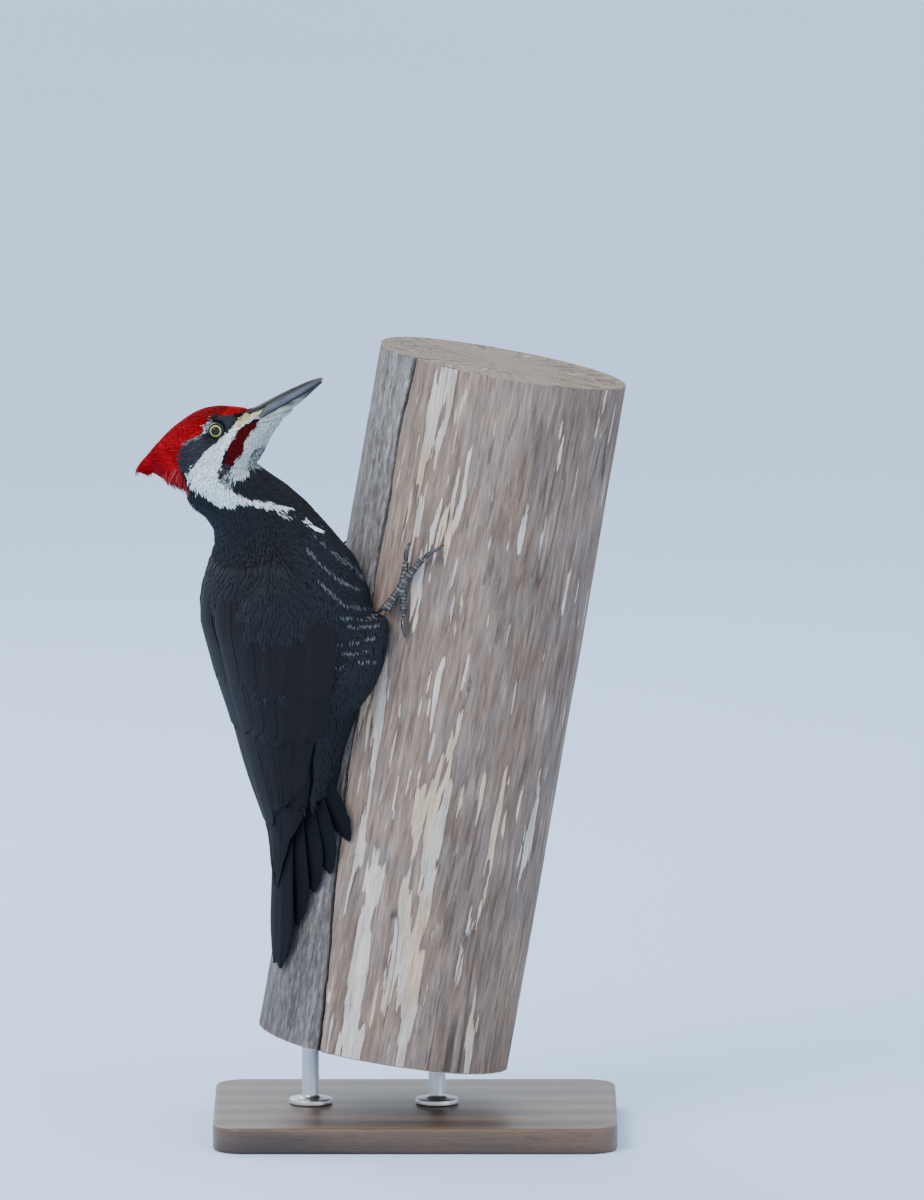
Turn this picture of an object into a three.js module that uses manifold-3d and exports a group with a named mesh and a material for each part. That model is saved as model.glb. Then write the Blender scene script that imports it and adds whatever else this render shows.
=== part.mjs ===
// A male pileated woodpecker, life size, clinging to a short length of leaning trunk that has lost its
// bark. The trunk stands on two rods over a flat base. Millimetres, +Z up, +X to the bird's front,
// -Y to its right side. The origin is the middle of the base's underside.
import * as THREE from "three";
import { mergeVertices } from "three/addons/utils/BufferGeometryUtils.js";
import Module from "manifold-3d";

const wasm = await Module();
wasm.setup();

// ---------------------------------------------------------------- driving dimensions
const GAP = 0.35; // clearance between neighbouring solids
const CUT = 30; // how far a cutting tool reaches past what it cuts

const BASE = { length: 280, depth: 210, height: 18, corner: 22, chamfer: 2 };
const ROD = { radius: 6, flange: 15, flangeHeight: 4, socket: 22, spread: 44, sides: 14 };

const TRUNK = {
  radius: 82.5,
  length: 486,
  lean: 10.1, // degrees from upright, towards +X
  footX: -29,
  footZ: 60,
  sides: 32,
  rings: 5,
  flute: 0.9, // depth of the shallow swellings round it
  swell: { foot: 13, top: 9.5 }, // how far the side away from the bird stands out past the radius
};
// The drying crack along the trunk. Below the bend it drifts round towards the near side.
const CHECK = { turn: 44.7, drift: 14.4, bend: 330, reach: 285, width: 3.2, depth: 9, rings: 9 };
const EYE = { radius: 6.2, side: 13.9, up: 0 };
const BILL = { root: 16, tip: 80.3, gapeZ: -8.3, tipZ: -6.9 };
const WING = {
  thickness: 5.5,
  tipThickness: 1.6,
  columns: 6,
  rows: 16,
  ends: [0.005, 0.99], // shares of the folded form that the wing covers
  bed: 0.8, // clearance between the wing and the body under it
};
const TAIL = { pairs: 5, thickness: 1, notch: 11, parting: 46, edge: 14 }; // notches between the tips
const CLAW_LENGTH = 13;

const BLACK = { color: 0x17181c, roughness: 0.62 };
const RED = { color: 0xb3101c, roughness: 0.7 };
const GREY_HORN = { color: 0x4b4e57, roughness: 0.4 };
const CLAW_HORN = { color: 0x24252b, roughness: 0.35 };
const SCALES = { color: 0x57575c, roughness: 0.6 };
const IRIS = { color: 0xe3d66a, roughness: 0.1 };
const WOOD = { color: 0x9a8b7c, roughness: 0.9 };
const PLINTH = { color: 0x4a372b, roughness: 0.5 };
const STEEL = { color: 0xa6a8ab, roughness: 0.3, metalness: 1 };

// ---------------------------------------------------------------- small tools
const radians = THREE.MathUtils.degToRad;
const mix = THREE.MathUtils.lerp;
const smooth = (x, low, high) => THREE.MathUtils.smoothstep(x, low, high);
const vector = (x, y, z) => new THREE.Vector3(x, y, z);

// A closed three.js geometry as a manifold solid, turned right way out.
function solid(geometry) {
  const bare = geometry.clone();
  bare.deleteAttribute("normal");
  bare.deleteAttribute("uv");
  const merged = mergeVertices(bare, 1e-4);
  const corners = merged.index.array;
  const kept = [];
  for (let i = 0; i < corners.length; i += 3) {
    const [a, b, c] = [corners[i], corners[i + 1], corners[i + 2]];
    if (a !== b && b !== c && c !== a) kept.push(a, b, c);
  }
  const build = (triVerts) =>
    new wasm.Manifold(
      new wasm.Mesh({
        numProp: 3,
        vertProperties: merged.attributes.position.array,
        triVerts: new Uint32Array(triVerts),
      }),
    );
  const made = build(kept);
  if (made.volume() > 0) return made;
  for (let i = 0; i < kept.length; i += 3) [kept[i + 1], kept[i + 2]] = [kept[i + 2], kept[i + 1]];
  return build(kept);
}

// The largest body of a manifold solid, as a named three.js mesh.
function mesh(name, made, finish) {
  const whole = made.decompose().sort((a, b) => b.volume() - a.volume())[0];
  const data = whole.getMesh();
  const geometry = new THREE.BufferGeometry();
  geometry.setAttribute("position", new THREE.BufferAttribute(data.vertProperties, 3));
  geometry.setIndex(new THREE.BufferAttribute(data.triVerts, 1));
  geometry.computeVertexNormals();
  const node = new THREE.Mesh(geometry, new THREE.MeshStandardMaterial(finish));
  node.name = name;
  return node;
}

const union = (solids) => solids.reduce((sum, next) => sum.add(next));

// A sphere's grid laid on a form: point(along, around) with along 0..1 and around 0..2 pi.
function wrap(point, rings, sides) {
  const geometry = new THREE.SphereGeometry(1, sides, rings);
  const { position, uv } = geometry.attributes;
  for (let i = 0; i < position.count; i++) {
    const along = 1 - uv.getY(i);
    const pole = along < 1e-6 || along > 1 - 1e-6;
    const p = point(along, pole ? 0 : uv.getX(i) * 2 * Math.PI);
    position.setXYZ(i, p.x, p.y, p.z);
  }
  return solid(geometry);
}

// A box's grid laid on a sheet: point(across, along, through), each 0..1.
function sheet(point, columns, rows) {
  const geometry = new THREE.BoxGeometry(1, 1, 1, columns, rows, 1);
  const { position } = geometry.attributes;
  for (let i = 0; i < position.count; i++) {
    const p = point(position.getX(i) + 0.5, position.getY(i) + 0.5, position.getZ(i) + 0.5);
    position.setXYZ(i, p.x, p.y, p.z);
  }
  return solid(geometry);
}

// Distance from the middle to the edge of a rounded section, at an angle from its back.
function reach(angle, { back, belly, side, square }) {
  const c = Math.cos(angle);
  const s = Math.abs(Math.sin(angle));
  const depth = c > 0 ? back : belly;
  return Math.pow(Math.pow(Math.abs(c) / depth, square) + Math.pow(s / side, square), -1 / square);
}

// Smooth values between named stations, spaced evenly along 0..1.
function between(stations, key) {
  const curve = new THREE.CatmullRomCurve3(
    stations.map((s) => vector(s[key], 0, 0)),
    false,
    "catmullrom",
    0.5,
  );
  return (along) => curve.getPoint(THREE.MathUtils.clamp(along, 0, 1)).x;
}

// ---------------------------------------------------------------- the trunk and its own coordinates
const AXIS = vector(Math.sin(radians(TRUNK.lean)), 0, Math.cos(radians(TRUNK.lean)));
const ACROSS = vector(Math.cos(radians(TRUNK.lean)), 0, -Math.sin(radians(TRUNK.lean)));
const FAR = vector(0, 1, 0);
const FOOT = vector(TRUNK.footX, 0, TRUNK.footZ);

// Straight out from the trunk's axis, at a turn in degrees round from -X towards -Y.
const outward = (turn) =>
  ACROSS.clone()
    .multiplyScalar(-Math.cos(radians(turn)))
    .addScaledVector(FAR, -Math.sin(radians(turn)));

// A point so far up the trunk, round it, and off its surface.
const onTrunk = (up, turn, off) =>
  FOOT.clone().addScaledVector(AXIS, up).addScaledVector(outward(turn), TRUNK.radius + off);

// The trunk swells a little below its nominal radius, never over it on the side where the bird is.
const fluted = (angle, up) =>
  TRUNK.radius +
  (TRUNK.swell.foot + ((TRUNK.swell.top - TRUNK.swell.foot) * up) / TRUNK.length) *
    Math.max(0, Math.cos(angle)) ** 2 -
  TRUNK.flute * (1 - 0.5 * Math.sin(3 * angle + 0.6) - 0.5 * Math.sin(5 * angle + up / 170));

function trunkSolid(grow = 0) {
  const geometry = new THREE.CylinderGeometry(1, 1, TRUNK.length, TRUNK.sides, TRUNK.rings);
  const { position } = geometry.attributes;
  for (let i = 0; i < position.count; i++) {
    const [x, h, z] = [position.getX(i), position.getY(i), position.getZ(i)];
    const up = h + TRUNK.length / 2;
    const middle = Math.hypot(x, z) < 0.5;
    const radius = middle ? 0 : (grow ? TRUNK.radius + grow : fluted(Math.atan2(z, x), up));
    const stretch = grow ? Math.sign(h) * CUT * (Math.abs(h) > TRUNK.length / 2 - 1) : 0;
    const p = FOOT.clone()
      .addScaledVector(AXIS, up + stretch)
      .addScaledVector(ACROSS, middle ? 0 : x * radius)
      .addScaledVector(FAR, middle ? 0 : z * radius);
    position.setXYZ(i, p.x, p.y, p.z);
  }
  return solid(geometry);
}

// A V-shaped drying crack along the whole trunk.
function checkSolid() {
  const geometry = new THREE.CylinderGeometry(1, 1, TRUNK.length + CUT, 3, CHECK.rings);
  const { position } = geometry.attributes;
  for (let i = 0; i < position.count; i++) {
    const [x, h, z] = [position.getX(i), position.getY(i), position.getZ(i)];
    const up = h + TRUNK.length / 2;
    const below = Math.max(0, (CHECK.bend - up) / CHECK.reach);
    const out = outward(CHECK.turn + CHECK.drift * below ** 1.3);
    const side = new THREE.Vector3().crossVectors(AXIS, out);
    const depth = TRUNK.radius + CHECK.depth * (z - 0.5);
    const p = FOOT.clone()
      .addScaledVector(AXIS, up)
      .addScaledVector(out, depth + (z > 0 ? CHECK.depth * 0.2 : 0))
      .addScaledVector(side, x * CHECK.width);
    position.setXYZ(i, p.x, p.y, p.z);
  }
  return solid(geometry);
}

// ---------------------------------------------------------------- the stand
function baseSolid() {
  const { length, depth, height, corner, chamfer } = BASE;
  const [w, d] = [length / 2 - chamfer, depth / 2 - chamfer];
  const r = corner - chamfer;
  const outline = new THREE.Shape();
  outline.moveTo(-w + r, -d);
  outline.lineTo(w - r, -d);
  outline.absarc(w - r, -d + r, r, -Math.PI / 2, 0);
  outline.lineTo(w, d - r);
  outline.absarc(w - r, d - r, r, 0, Math.PI / 2);
  outline.lineTo(-w + r, d);
  outline.absarc(-w + r, d - r, r, Math.PI / 2, Math.PI);
  outline.lineTo(-w, -d + r);
  outline.absarc(-w + r, -d + r, r, Math.PI, 1.5 * Math.PI);
  const plate = new THREE.ExtrudeGeometry(outline, {
    depth: height - 2 * chamfer,
    bevelThickness: chamfer,
    bevelSize: chamfer,
    bevelSegments: 1,
    curveSegments: 4,
  });
  plate.translate(0, 0, chamfer);
  return solid(plate);
}

const RODS = { left: TRUNK.footX - ROD.spread, right: TRUNK.footX + ROD.spread };

// A rod with a flange on the base, running up into a socket in the trunk's end.
function rodSolid(x, grow = 0) {
  const face = TRUNK.footZ - (x - TRUNK.footX) * Math.tan(radians(TRUNK.lean));
  const r = ROD.radius + grow;
  const profile = [
    [0, BASE.height + GAP],
    [ROD.flange, BASE.height + GAP],
    [ROD.flange, BASE.height + GAP + ROD.flangeHeight],
    [r + 1.5, BASE.height + GAP + ROD.flangeHeight + 1.5],
    [r, BASE.height + GAP + ROD.flangeHeight + 3],
    [r, face + ROD.socket + grow],
    [0, face + ROD.socket + grow],
  ];
  const points = profile.map(([radius, z]) => new THREE.Vector2(radius, z));
  const rod = new THREE.LatheGeometry(points, ROD.sides);
  rod.rotateX(Math.PI / 2);
  rod.translate(x, 0, 0);
  return solid(rod);
}

// ---------------------------------------------------------------- trunk of the body and neck
// Stations from the vent up to the inside of the head: where the middle is on the perch, and how far
// the plumage reaches towards the back, the belly and each side.
const BODY = [
  { up: 160, turn: 27.5, off: 14, back: 0, belly: 0, side: 0, square: 2 },
  { up: 170, turn: 27.6, off: 16, back: 14, belly: 24, side: 31, square: 2.2 },
  { up: 184, turn: 27.8, off: 20, back: 20, belly: 35, side: 36, square: 2.3 },
  { up: 203, turn: 28, off: 27, back: 27, belly: 41, side: 38, square: 2.4 },
  { up: 228, turn: 28.5, off: 35, back: 31.5, belly: 54, side: 44, square: 2.4 },
  { up: 260, turn: 28.5, off: 44, back: 39.5, belly: 66, side: 51, square: 2.4 },
  { up: 292, turn: 28.2, off: 50, back: 50.5, belly: 67, side: 53, square: 2.4 },
  { up: 322, turn: 28, off: 57, back: 51, belly: 56, side: 51, square: 2.3 },
  { up: 347, turn: 28, off: 68, back: 43, belly: 37, side: 44, square: 2.2 },
  { up: 366, turn: 28, off: 84, back: 32, belly: 28, side: 34, square: 2.1 },
  { up: 382, turn: 28, off: 101, back: 32, belly: 20, side: 27.5, square: 2 },
  { up: 397, turn: 28, off: 113, back: 34, belly: 16, side: 23, square: 2 },
  { up: 409, turn: 28, off: 120, back: 20, belly: 14, side: 17, square: 2 },
  { up: 420, turn: 28, off: 124, back: 0, belly: 0, side: 0, square: 2 },
];
const NECK_CUT = 0.65; // where along the stations the neck parts from the body

// A form that runs through stations on the perch, with the section's own axes at each place.
function form(stations) {
  const line = new THREE.CatmullRomCurve3(
    stations.map((s) => onTrunk(s.up, s.turn, s.off)),
    false,
    "catmullrom",
    0.5,
  );
  const values = {};
  for (const key of ["turn", "back", "belly", "side", "square"]) values[key] = between(stations, key);
  const section = (along) => ({
    back: values.back(along),
    belly: values.belly(along),
    side: values.side(along),
    square: values.square(along),
  });
  const axes = (share) => {
    const along = THREE.MathUtils.clamp(share, 0, 1);
    const lie = line.getTangent(along);
    const back = outward(values.turn(along));
    back.addScaledVector(lie, -back.dot(lie)).normalize();
    const right = new THREE.Vector3().crossVectors(lie, back);
    return { middle: line.getPoint(along), lie, back, right };
  };
  const place = (along, angle, radius) => {
    const { middle, back, right } = axes(along);
    return middle
      .addScaledVector(back, Math.cos(angle) * radius)
      .addScaledVector(right, Math.sin(angle) * radius);
  };
  return { section, axes, place };
}

const body = form(BODY);

function bodySolid(grow = 0) {
  const point = (along, angle) => {
    const { back, belly, side, square } = body.section(along);
    if (back < 1e-6) return body.place(along, 0, 0);
    const grown = { back: back + grow, belly: belly + grow, side: side + grow, square };
    return body.place(along, angle, reach(angle, grown));
  };
  return wrap(point, 20, 20);
}

// ---------------------------------------------------------------- the head, in its own axes
const HEAD = { up: 419.8, turn: 28, off: 125.3, pitch: 29.5, yaw: 2 };
const HEAD_AT = onTrunk(HEAD.up, HEAD.turn, HEAD.off);
const FORWARD = vector(
  Math.cos(radians(HEAD.pitch)) * Math.cos(radians(HEAD.yaw)),
  -Math.cos(radians(HEAD.pitch)) * Math.sin(radians(HEAD.yaw)),
  Math.sin(radians(HEAD.pitch)),
);
const RIGHT = vector(-Math.sin(radians(HEAD.yaw)), -Math.cos(radians(HEAD.yaw)), 0);
const CROWN = new THREE.Vector3().crossVectors(RIGHT, FORWARD);
const inHead = (x, right, z) =>
  HEAD_AT.clone().addScaledVector(FORWARD, x).addScaledVector(RIGHT, right).addScaledVector(CROWN, z);

// Stations from the crest's tip forward to the chin: x is towards the bill, z up, both from the eyes.
const SKULL = [
  { x: -63.5, z: 2.4, back: 0, belly: 0, side: 0, square: 2 },
  { x: -58, z: 2.3, back: 2.2, belly: 3.2, side: 2.5, square: 2 },
  { x: -52.5, z: 1.5, back: 4.8, belly: 9.4, side: 4.8, square: 2 },
  { x: -46, z: 0.4, back: 8.2, belly: 20, side: 8, square: 2 },
  { x: -37, z: -1, back: 13.2, belly: 28.5, side: 12.5, square: 2 },
  { x: -27, z: -2, back: 16.8, belly: 28, side: 17, square: 2.1 },
  { x: -16, z: -3, back: 19.4, belly: 29.5, side: 20, square: 2.2 },
  { x: -4, z: -4, back: 20.6, belly: 31, side: 20.5, square: 2.2 },
  { x: 8, z: -5.5, back: 18.4, belly: 30, side: 18, square: 2.2 },
  { x: 18, z: -7.8, back: 14.3, belly: 24.5, side: 14.5, square: 2.1 },
  { x: 28, z: -10.2, back: 9.2, belly: 14.6, side: 10.5, square: 2 },
  { x: 37, z: -13, back: 4, belly: 7, side: 6.5, square: 2 },
  { x: 47, z: -15.9, back: 0, belly: 0, side: 0, square: 2 },
];
const CREST_X = -30; // the crest parts from the head here

function skullSolid(grow = 0) {
  const value = {};
  for (const key of ["x", "z", "back", "belly", "side", "square"]) value[key] = between(SKULL, key);
  const point = (along, angle) => {
    const [x, z, back] = [value.x(along), value.z(along), value.back(along)];
    if (back < 1e-6) return inHead(x + grow * Math.sign(along - 0.5), 0, z);
    const r = reach(angle, {
      back: back + grow,
      belly: value.belly(along) + grow,
      side: value.side(along) + grow,
      square: value.square(along),
    });
    return inHead(x, Math.sin(angle) * r, z + Math.cos(angle) * r);
  };
  return wrap(point, 18, 18);
}

// ---------------------------------------------------------------- bill and eyes
// Depth and half-width along a half of the bill: 0 at its root inside the face, 1 at its chisel tip.
const UPPER = [
  { deep: 7.8, half: 9 },
  { deep: 7.5, half: 8.4 },
  { deep: 7.3, half: 7 },
  { deep: 7, half: 5.8 },
  { deep: 6.3, half: 4.6 },
  { deep: 4.7, half: 3.5 },
  { deep: 1.3, half: 2.1 },
];
const LOWER = [
  { deep: 7.4, half: 7.8 },
  { deep: 7.2, half: 7.2 },
  { deep: 6.8, half: 6 },
  { deep: 6, half: 4.9 },
  { deep: 4.3, half: 3.8 },
  { deep: 2.3, half: 2.7 },
  { deep: 0.5, half: 1.3 },
];

function billSolid(stations, sign, tip, grow = 0) {
  const deep = between(stations, "deep");
  const half = between(stations, "half");
  const point = (along, angle) => {
    const t = THREE.MathUtils.clamp((along - 0.02) / 0.96, 0, 1);
    const x = mix(BILL.root, tip, along) + grow * Math.sign(along - 0.5);
    const seam = mix(BILL.gapeZ, BILL.tipZ, smooth(t, 0.7, 1)) + (sign * GAP) / 2;
    if (along < 1e-6 || along > 1 - 1e-6) return inHead(x, 0, seam + sign * 0.4 * deep(along));
    const lift = Math.pow(Math.max(0, Math.cos(angle)), 0.9);
    const swell = Math.pow(Math.abs(Math.sin(angle)), 0.8) * Math.sign(Math.sin(angle));
    return inHead(x, swell * (half(t) + grow), seam + sign * (lift * (deep(t) + 2 * grow) - grow));
  };
  return wrap(point, 9, 12);
}

const eyeSolid = (sign, grow = 0) => {
  const ball = new THREE.SphereGeometry(EYE.radius + grow, 12, 8);
  const at = inHead(0, sign * EYE.side, EYE.up);
  ball.translate(at.x, at.y, at.z);
  return solid(ball);
};

// ---------------------------------------------------------------- wings
// The folded wings' outer form, from the wing tips up to the shoulders.
const FOLD = [
  { up: 101, turn: 23.5, off: 6, back: 6.5, belly: 8, side: 8, square: 2 },
  { up: 118, turn: 25, off: 8, back: 11, belly: 9, side: 15, square: 2 },
  { up: 142, turn: 26, off: 12, back: 14, belly: 11, side: 21, square: 2.1 },
  { up: 172, turn: 27.5, off: 18, back: 23.5, belly: 20, side: 31, square: 2.2 },
  { up: 203, turn: 28, off: 27, back: 30.5, belly: 30, side: 37.5, square: 2.3 },
  { up: 228, turn: 28.5, off: 35, back: 34, belly: 44, side: 45.5, square: 2.4 },
  { up: 260, turn: 28.5, off: 44, back: 42, belly: 60, side: 53, square: 2.4 },
  { up: 292, turn: 28.2, off: 50, back: 52.5, belly: 66, side: 55.5, square: 2.4 },
  { up: 322, turn: 28, off: 57, back: 53, belly: 56, side: 53, square: 2.3 },
  { up: 345, turn: 28, off: 67, back: 46.5, belly: 45, side: 47, square: 2.2 },
];
const fold = form(FOLD);

// The wing's two edges as angles from the middle of the back, from its tip (0) to the shoulder (1).
const upperEdge = (along) => mix(mix(2, 5, smooth(along, 0, 0.5)), 42, smooth(along, 0.7, 1));
const lowerEdge = (along) => mix(mix(58, 93, smooth(along, 0, 0.4)), 88, smooth(along, 0.7, 1));

function wingSolid(sign, grow = 0) {
  const { thickness, tipThickness, columns, rows, ends } = WING;
  const reachOn = grow / 260;
  const point = (across, step, through) => {
    const along = mix(ends[0] - reachOn, ends[1] + reachOn, Math.sin((step * Math.PI) / 2));
    const turned = across * 2 - 1;
    const shoulder = Math.max(0, (along - 0.8) / (ends[1] - 0.8));
    const blunt = Math.sqrt(Math.max(0.16, 1 - Math.pow(shoulder, 3)));
    const pointed = Math.sqrt(smooth(along, -0.015, 0.2));
    const middle = (upperEdge(along) + lowerEdge(along)) / 2;
    const half = ((lowerEdge(along) - upperEdge(along)) / 2) * blunt * pointed;
    const section = fold.section(along);
    const angle = radians(middle + turned * half) + (turned * grow) / section.side;
    const outer = reach(angle, section);
    const deep = mix(tipThickness, thickness, smooth(along, 0.02, 0.6));
    const edge = Math.sqrt(Math.max(0.12, 1 - Math.pow(Math.abs(turned), 3)));
    const inner = outer - deep - grow;
    const top = grow ? outer + CUT : inner + deep * edge;
    return fold.place(along, sign * angle, through > 0.5 ? top : inner);
  };
  return sheet(point, columns, rows);
}

// ---------------------------------------------------------------- tail
// The fan of tail feathers, from the rump to their tips on the trunk. Places across it are counted in
// feathers from the middle; the middle pair is longest.
const TAIL_ROOT = { up: 202, turn: 27, off: 24, pace: 2.4 };
const TAIL_TIPS = [{ up: 49 }, { up: 78 }, { up: 103 }, { up: 122 }, { up: 145 }];
const TAIL_MIDDLE = 25.5; // degrees round the trunk at the tips
const TAIL_SPREAD = 37; // degrees from there to the fan's edge

function tailSolid() {
  const { pairs, thickness, notch, parting, edge } = TAIL;
  const tipUp = between(TAIL_TIPS, "up");
  const point = (across, along, through) => {
    const place = Math.abs(2 * across - 1) * pairs;
    const sign = Math.sign(2 * across - 1);
    const apart = Math.abs(Math.cos(Math.PI * place));
    const web = place < 0.25 ? parting : place > pairs - 0.25 ? edge : notch;
    const tip = tipUp((place - 0.5) / (pairs - 1)) + apart * web;
    const up = mix(TAIL_ROOT.up, tip, along);
    const spread = mix(place * TAIL_ROOT.pace, (place / pairs) * TAIL_SPREAD, Math.pow(along, 0.9));
    const turn = mix(TAIL_ROOT.turn, TAIL_MIDDLE, along) + sign * spread;
    const domed = 3.4 * (1 - Math.pow(place / pairs, 2)) * smooth(1 - along, 0, 0.6);
    const off = mix(TAIL_ROOT.off, 0.9, Math.pow(along, 0.8)) + domed + through * thickness * (2 - along);
    return onTrunk(up, turn, off);
  };
  return sheet(point, 4 * pairs, 7);
}

// ---------------------------------------------------------------- legs and feet
// A tube of changing radius along points on the trunk.
function limb(points, radii, rings, sides, grow = 0) {
  const line = new THREE.CatmullRomCurve3(points, false, "centripetal");
  const radius = between(
    radii.map((r) => ({ r })),
    "r",
  );
  const point = (along, angle) => {
    const t = (1 - Math.cos(Math.PI * along)) / 2;
    const lie = line.getTangentAt(t);
    const side = new THREE.Vector3().crossVectors(lie, FAR).normalize();
    const lift = new THREE.Vector3().crossVectors(side, lie);
    const r = (radius(t) + grow) * Math.sqrt(Math.max(0, 1 - Math.pow(2 * along - 1, 12)));
    const end = along < 0.5 ? -grow : grow;
    return line
      .getPointAt(t)
      .addScaledVector(lie, along < 1e-6 || along > 1 - 1e-6 ? end : 0)
      .addScaledVector(side, Math.cos(angle) * r)
      .addScaledVector(lift, Math.sin(angle) * r);
  };
  return wrap(point, rings, sides);
}

const FOOT_TURN = 36; // degrees from the bird's middle to each foot
const LEG = {
  hip: { up: 232, turn: 10, off: 30 },
  knee: { up: 268, turn: 21, off: 17 },
  ankle: { up: 312, turn: 31, off: 9.5 },
  foot: { up: 333, turn: FOOT_TURN, off: 4.6 },
};
// Toes by how far up the trunk and how many degrees outwards each reaches from the foot, and how much
// further outwards its claw leans.
const TOES = [
  { name: "inner", up: 16, turn: -1, lean: 1 },
  { name: "middle", up: 21, turn: 7.5, lean: 4.5 },
  { name: "outer", up: -24, turn: 3, lean: 1 },
  { name: "hind", up: -16, turn: -6, lean: -1 },
];
const MIDDLE = 28; // degrees round the trunk of the bird's own middle plane

const LEFT_DROP = 24; // the left leg holds on lower down

const legPoint = (sign, { up, turn, off }) =>
  onTrunk(sign > 0 ? up : up - LEFT_DROP, MIDDLE + sign * turn, off);

function thighSolid(sign, grow = 0) {
  const points = [LEG.hip, LEG.knee, LEG.ankle].map((p) => legPoint(sign, p));
  return limb(points, [16, 24, 23, 16, 5.5], 10, 11, grow);
}

const tarsusSolid = (sign, grow = 0) =>
  limb([legPoint(sign, LEG.ankle), legPoint(sign, LEG.foot)], [4.4, 3, 2.8, 3.2], 6, 8, grow);

function toeSolid(sign, toe, grow = 0) {
  const { up, turn, off } = LEG.foot;
  const reachTo = (share, lift) =>
    legPoint(sign, { up: up + toe.up * share, turn: turn + toe.turn * share, off: lift });
  return limb([reachTo(-0.22, off), reachTo(0.45, 4.2), reachTo(1, 3)], [3.4, 3, 2.6, 2.3, 2.3], 6, 6, grow);
}

// The claw leaves the toe's end, arches out and comes down on the trunk.
function clawSolid(sign, toe, grow = 0) {
  const { up, turn } = LEG.foot;
  const step = radians(TRUNK.radius); // millimetres round the trunk to a degree
  const length = Math.hypot(toe.up, toe.turn * step);
  const stretch = CLAW_LENGTH / length;
  const place = (k, off) =>
    legPoint(sign, {
      up: up + toe.up * (1 + stretch * k),
      turn: turn + toe.turn * (1 + stretch * k) + toe.lean * Math.max(0, k),
      off,
    });
  const spine = [place(-0.04, 3.4), place(0.5, 5.8), place(0.88, 4), place(0.98, 1.1)];
  return limb(spine, [1.9, 1.75, 1.25, 0.4], 7, 6, grow);
}

// ---------------------------------------------------------------- assembly
const bird = new THREE.Group();
const stand = new THREE.Group();
const model = new THREE.Group();
model.add(bird, stand);

const trunkTool = trunkSolid(GAP);
const billUpper = billSolid(UPPER, 1, BILL.tip);
const billLower = billSolid(LOWER, -1, BILL.tip - 1.8);
const billTool = billSolid(UPPER, 1, BILL.tip, GAP).add(billSolid(LOWER, -1, BILL.tip - 1.8, GAP));
const SIDES = [
  ["right", 1],
  ["left", -1],
];

// Head, crest, bill and eyes.
const faceCuts = billTool.add(eyeSolid(1, GAP)).add(eyeSolid(-1, GAP));
const skull = skullSolid().subtract(faceCuts);
const crestOffset = inHead(CREST_X, 0, 0).dot(FORWARD);
const forward = FORWARD.toArray();
const backward = FORWARD.clone().negate().toArray();
bird.add(mesh("head", skull.trimByPlane(forward, crestOffset + GAP / 2), BLACK));
bird.add(mesh("crest", skull.trimByPlane(backward, GAP / 2 - crestOffset), RED));
bird.add(mesh("bill_upper", billUpper, GREY_HORN));
bird.add(mesh("bill_lower", billLower, GREY_HORN));
for (const [name, sign] of SIDES) bird.add(mesh(`eye_${name}`, eyeSolid(sign), IRIS));

// Body and neck, less the wings that lie on them.
const wingTools = SIDES.map(([, sign]) => wingSolid(sign, WING.bed));
const clawTools = SIDES.map(([, sign]) => union(TOES.map((toe) => clawSolid(sign, toe, GAP))));
const whole = bodySolid()
  .subtract(trunkTool)
  .subtract(union(wingTools))
  .subtract(union(clawTools))
  .subtract(skullSolid(GAP));
const neckPlane = body.axes(NECK_CUT);
const neckOffset = neckPlane.middle.dot(neckPlane.lie);
const torso = whole.trimByPlane(neckPlane.lie.clone().negate().toArray(), GAP / 2 - neckOffset);
bird.add(mesh("neck", whole.trimByPlane(neckPlane.lie.toArray(), neckOffset + GAP / 2), BLACK));
bird.add(mesh("torso", torso, BLACK));

for (const [name, sign] of SIDES) {
  bird.add(mesh(`wing_${name}`, wingSolid(sign), BLACK));
}
const bodyTool = bodySolid(GAP);
bird.add(mesh("tail", tailSolid().subtract(bodyTool).subtract(trunkTool), BLACK));

// Legs, feet and claws.
for (const [name, sign] of SIDES) {
  const toes = union(TOES.map((toe) => toeSolid(sign, toe)));
  const claws = union(TOES.map((toe) => clawSolid(sign, toe, GAP)));
  const toeTool = union(TOES.map((toe) => toeSolid(sign, toe, GAP)));
  const thigh = thighSolid(sign).subtract(bodyTool).subtract(trunkTool).subtract(claws).subtract(toeTool);
  bird.add(mesh(`thigh_${name}`, thigh, BLACK));
  const foot = toes.subtract(claws).subtract(bodyTool).subtract(trunkTool);
  bird.add(mesh(`foot_${name}`, foot, SCALES));
  const tarsus = tarsusSolid(sign)
    .subtract(thighSolid(sign, GAP))
    .subtract(toeTool)
    .subtract(bodyTool);
  bird.add(mesh(`tarsus_${name}`, tarsus, SCALES));
  for (const toe of TOES) {
    const claw = clawSolid(sign, toe).subtract(trunkTool);
    bird.add(mesh(`claw_${toe.name}_${name}`, claw, CLAW_HORN));
  }
}

// Perch and stand.
const sockets = rodSolid(RODS.left, GAP).add(rodSolid(RODS.right, GAP));
stand.add(mesh("perch_trunk", trunkSolid().subtract(checkSolid()).subtract(sockets), WOOD));
stand.add(mesh("stand_base", baseSolid(), PLINTH));
for (const side of ["left", "right"]) stand.add(mesh(`stand_rod_${side}`, rodSolid(RODS[side]), STEEL));

export default model;
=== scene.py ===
"""A male pileated woodpecker, life size, on a cut length of bare trunk over a display stand.

The bird is one skin under a coat of modelled feathers, with its bill, eyes, scaled legs and claws as
pieces of their own. Lengths are metres, with millimetres written as numbers times MM. +Z is up and +X
is the way the bill points.
"""

import logging
import math
from dataclasses import dataclass, field
from enum import Enum
from typing import Callable, Iterable, Sequence

import bpy
import numpy as np
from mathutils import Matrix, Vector
from mathutils.bvhtree import BVHTree


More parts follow.
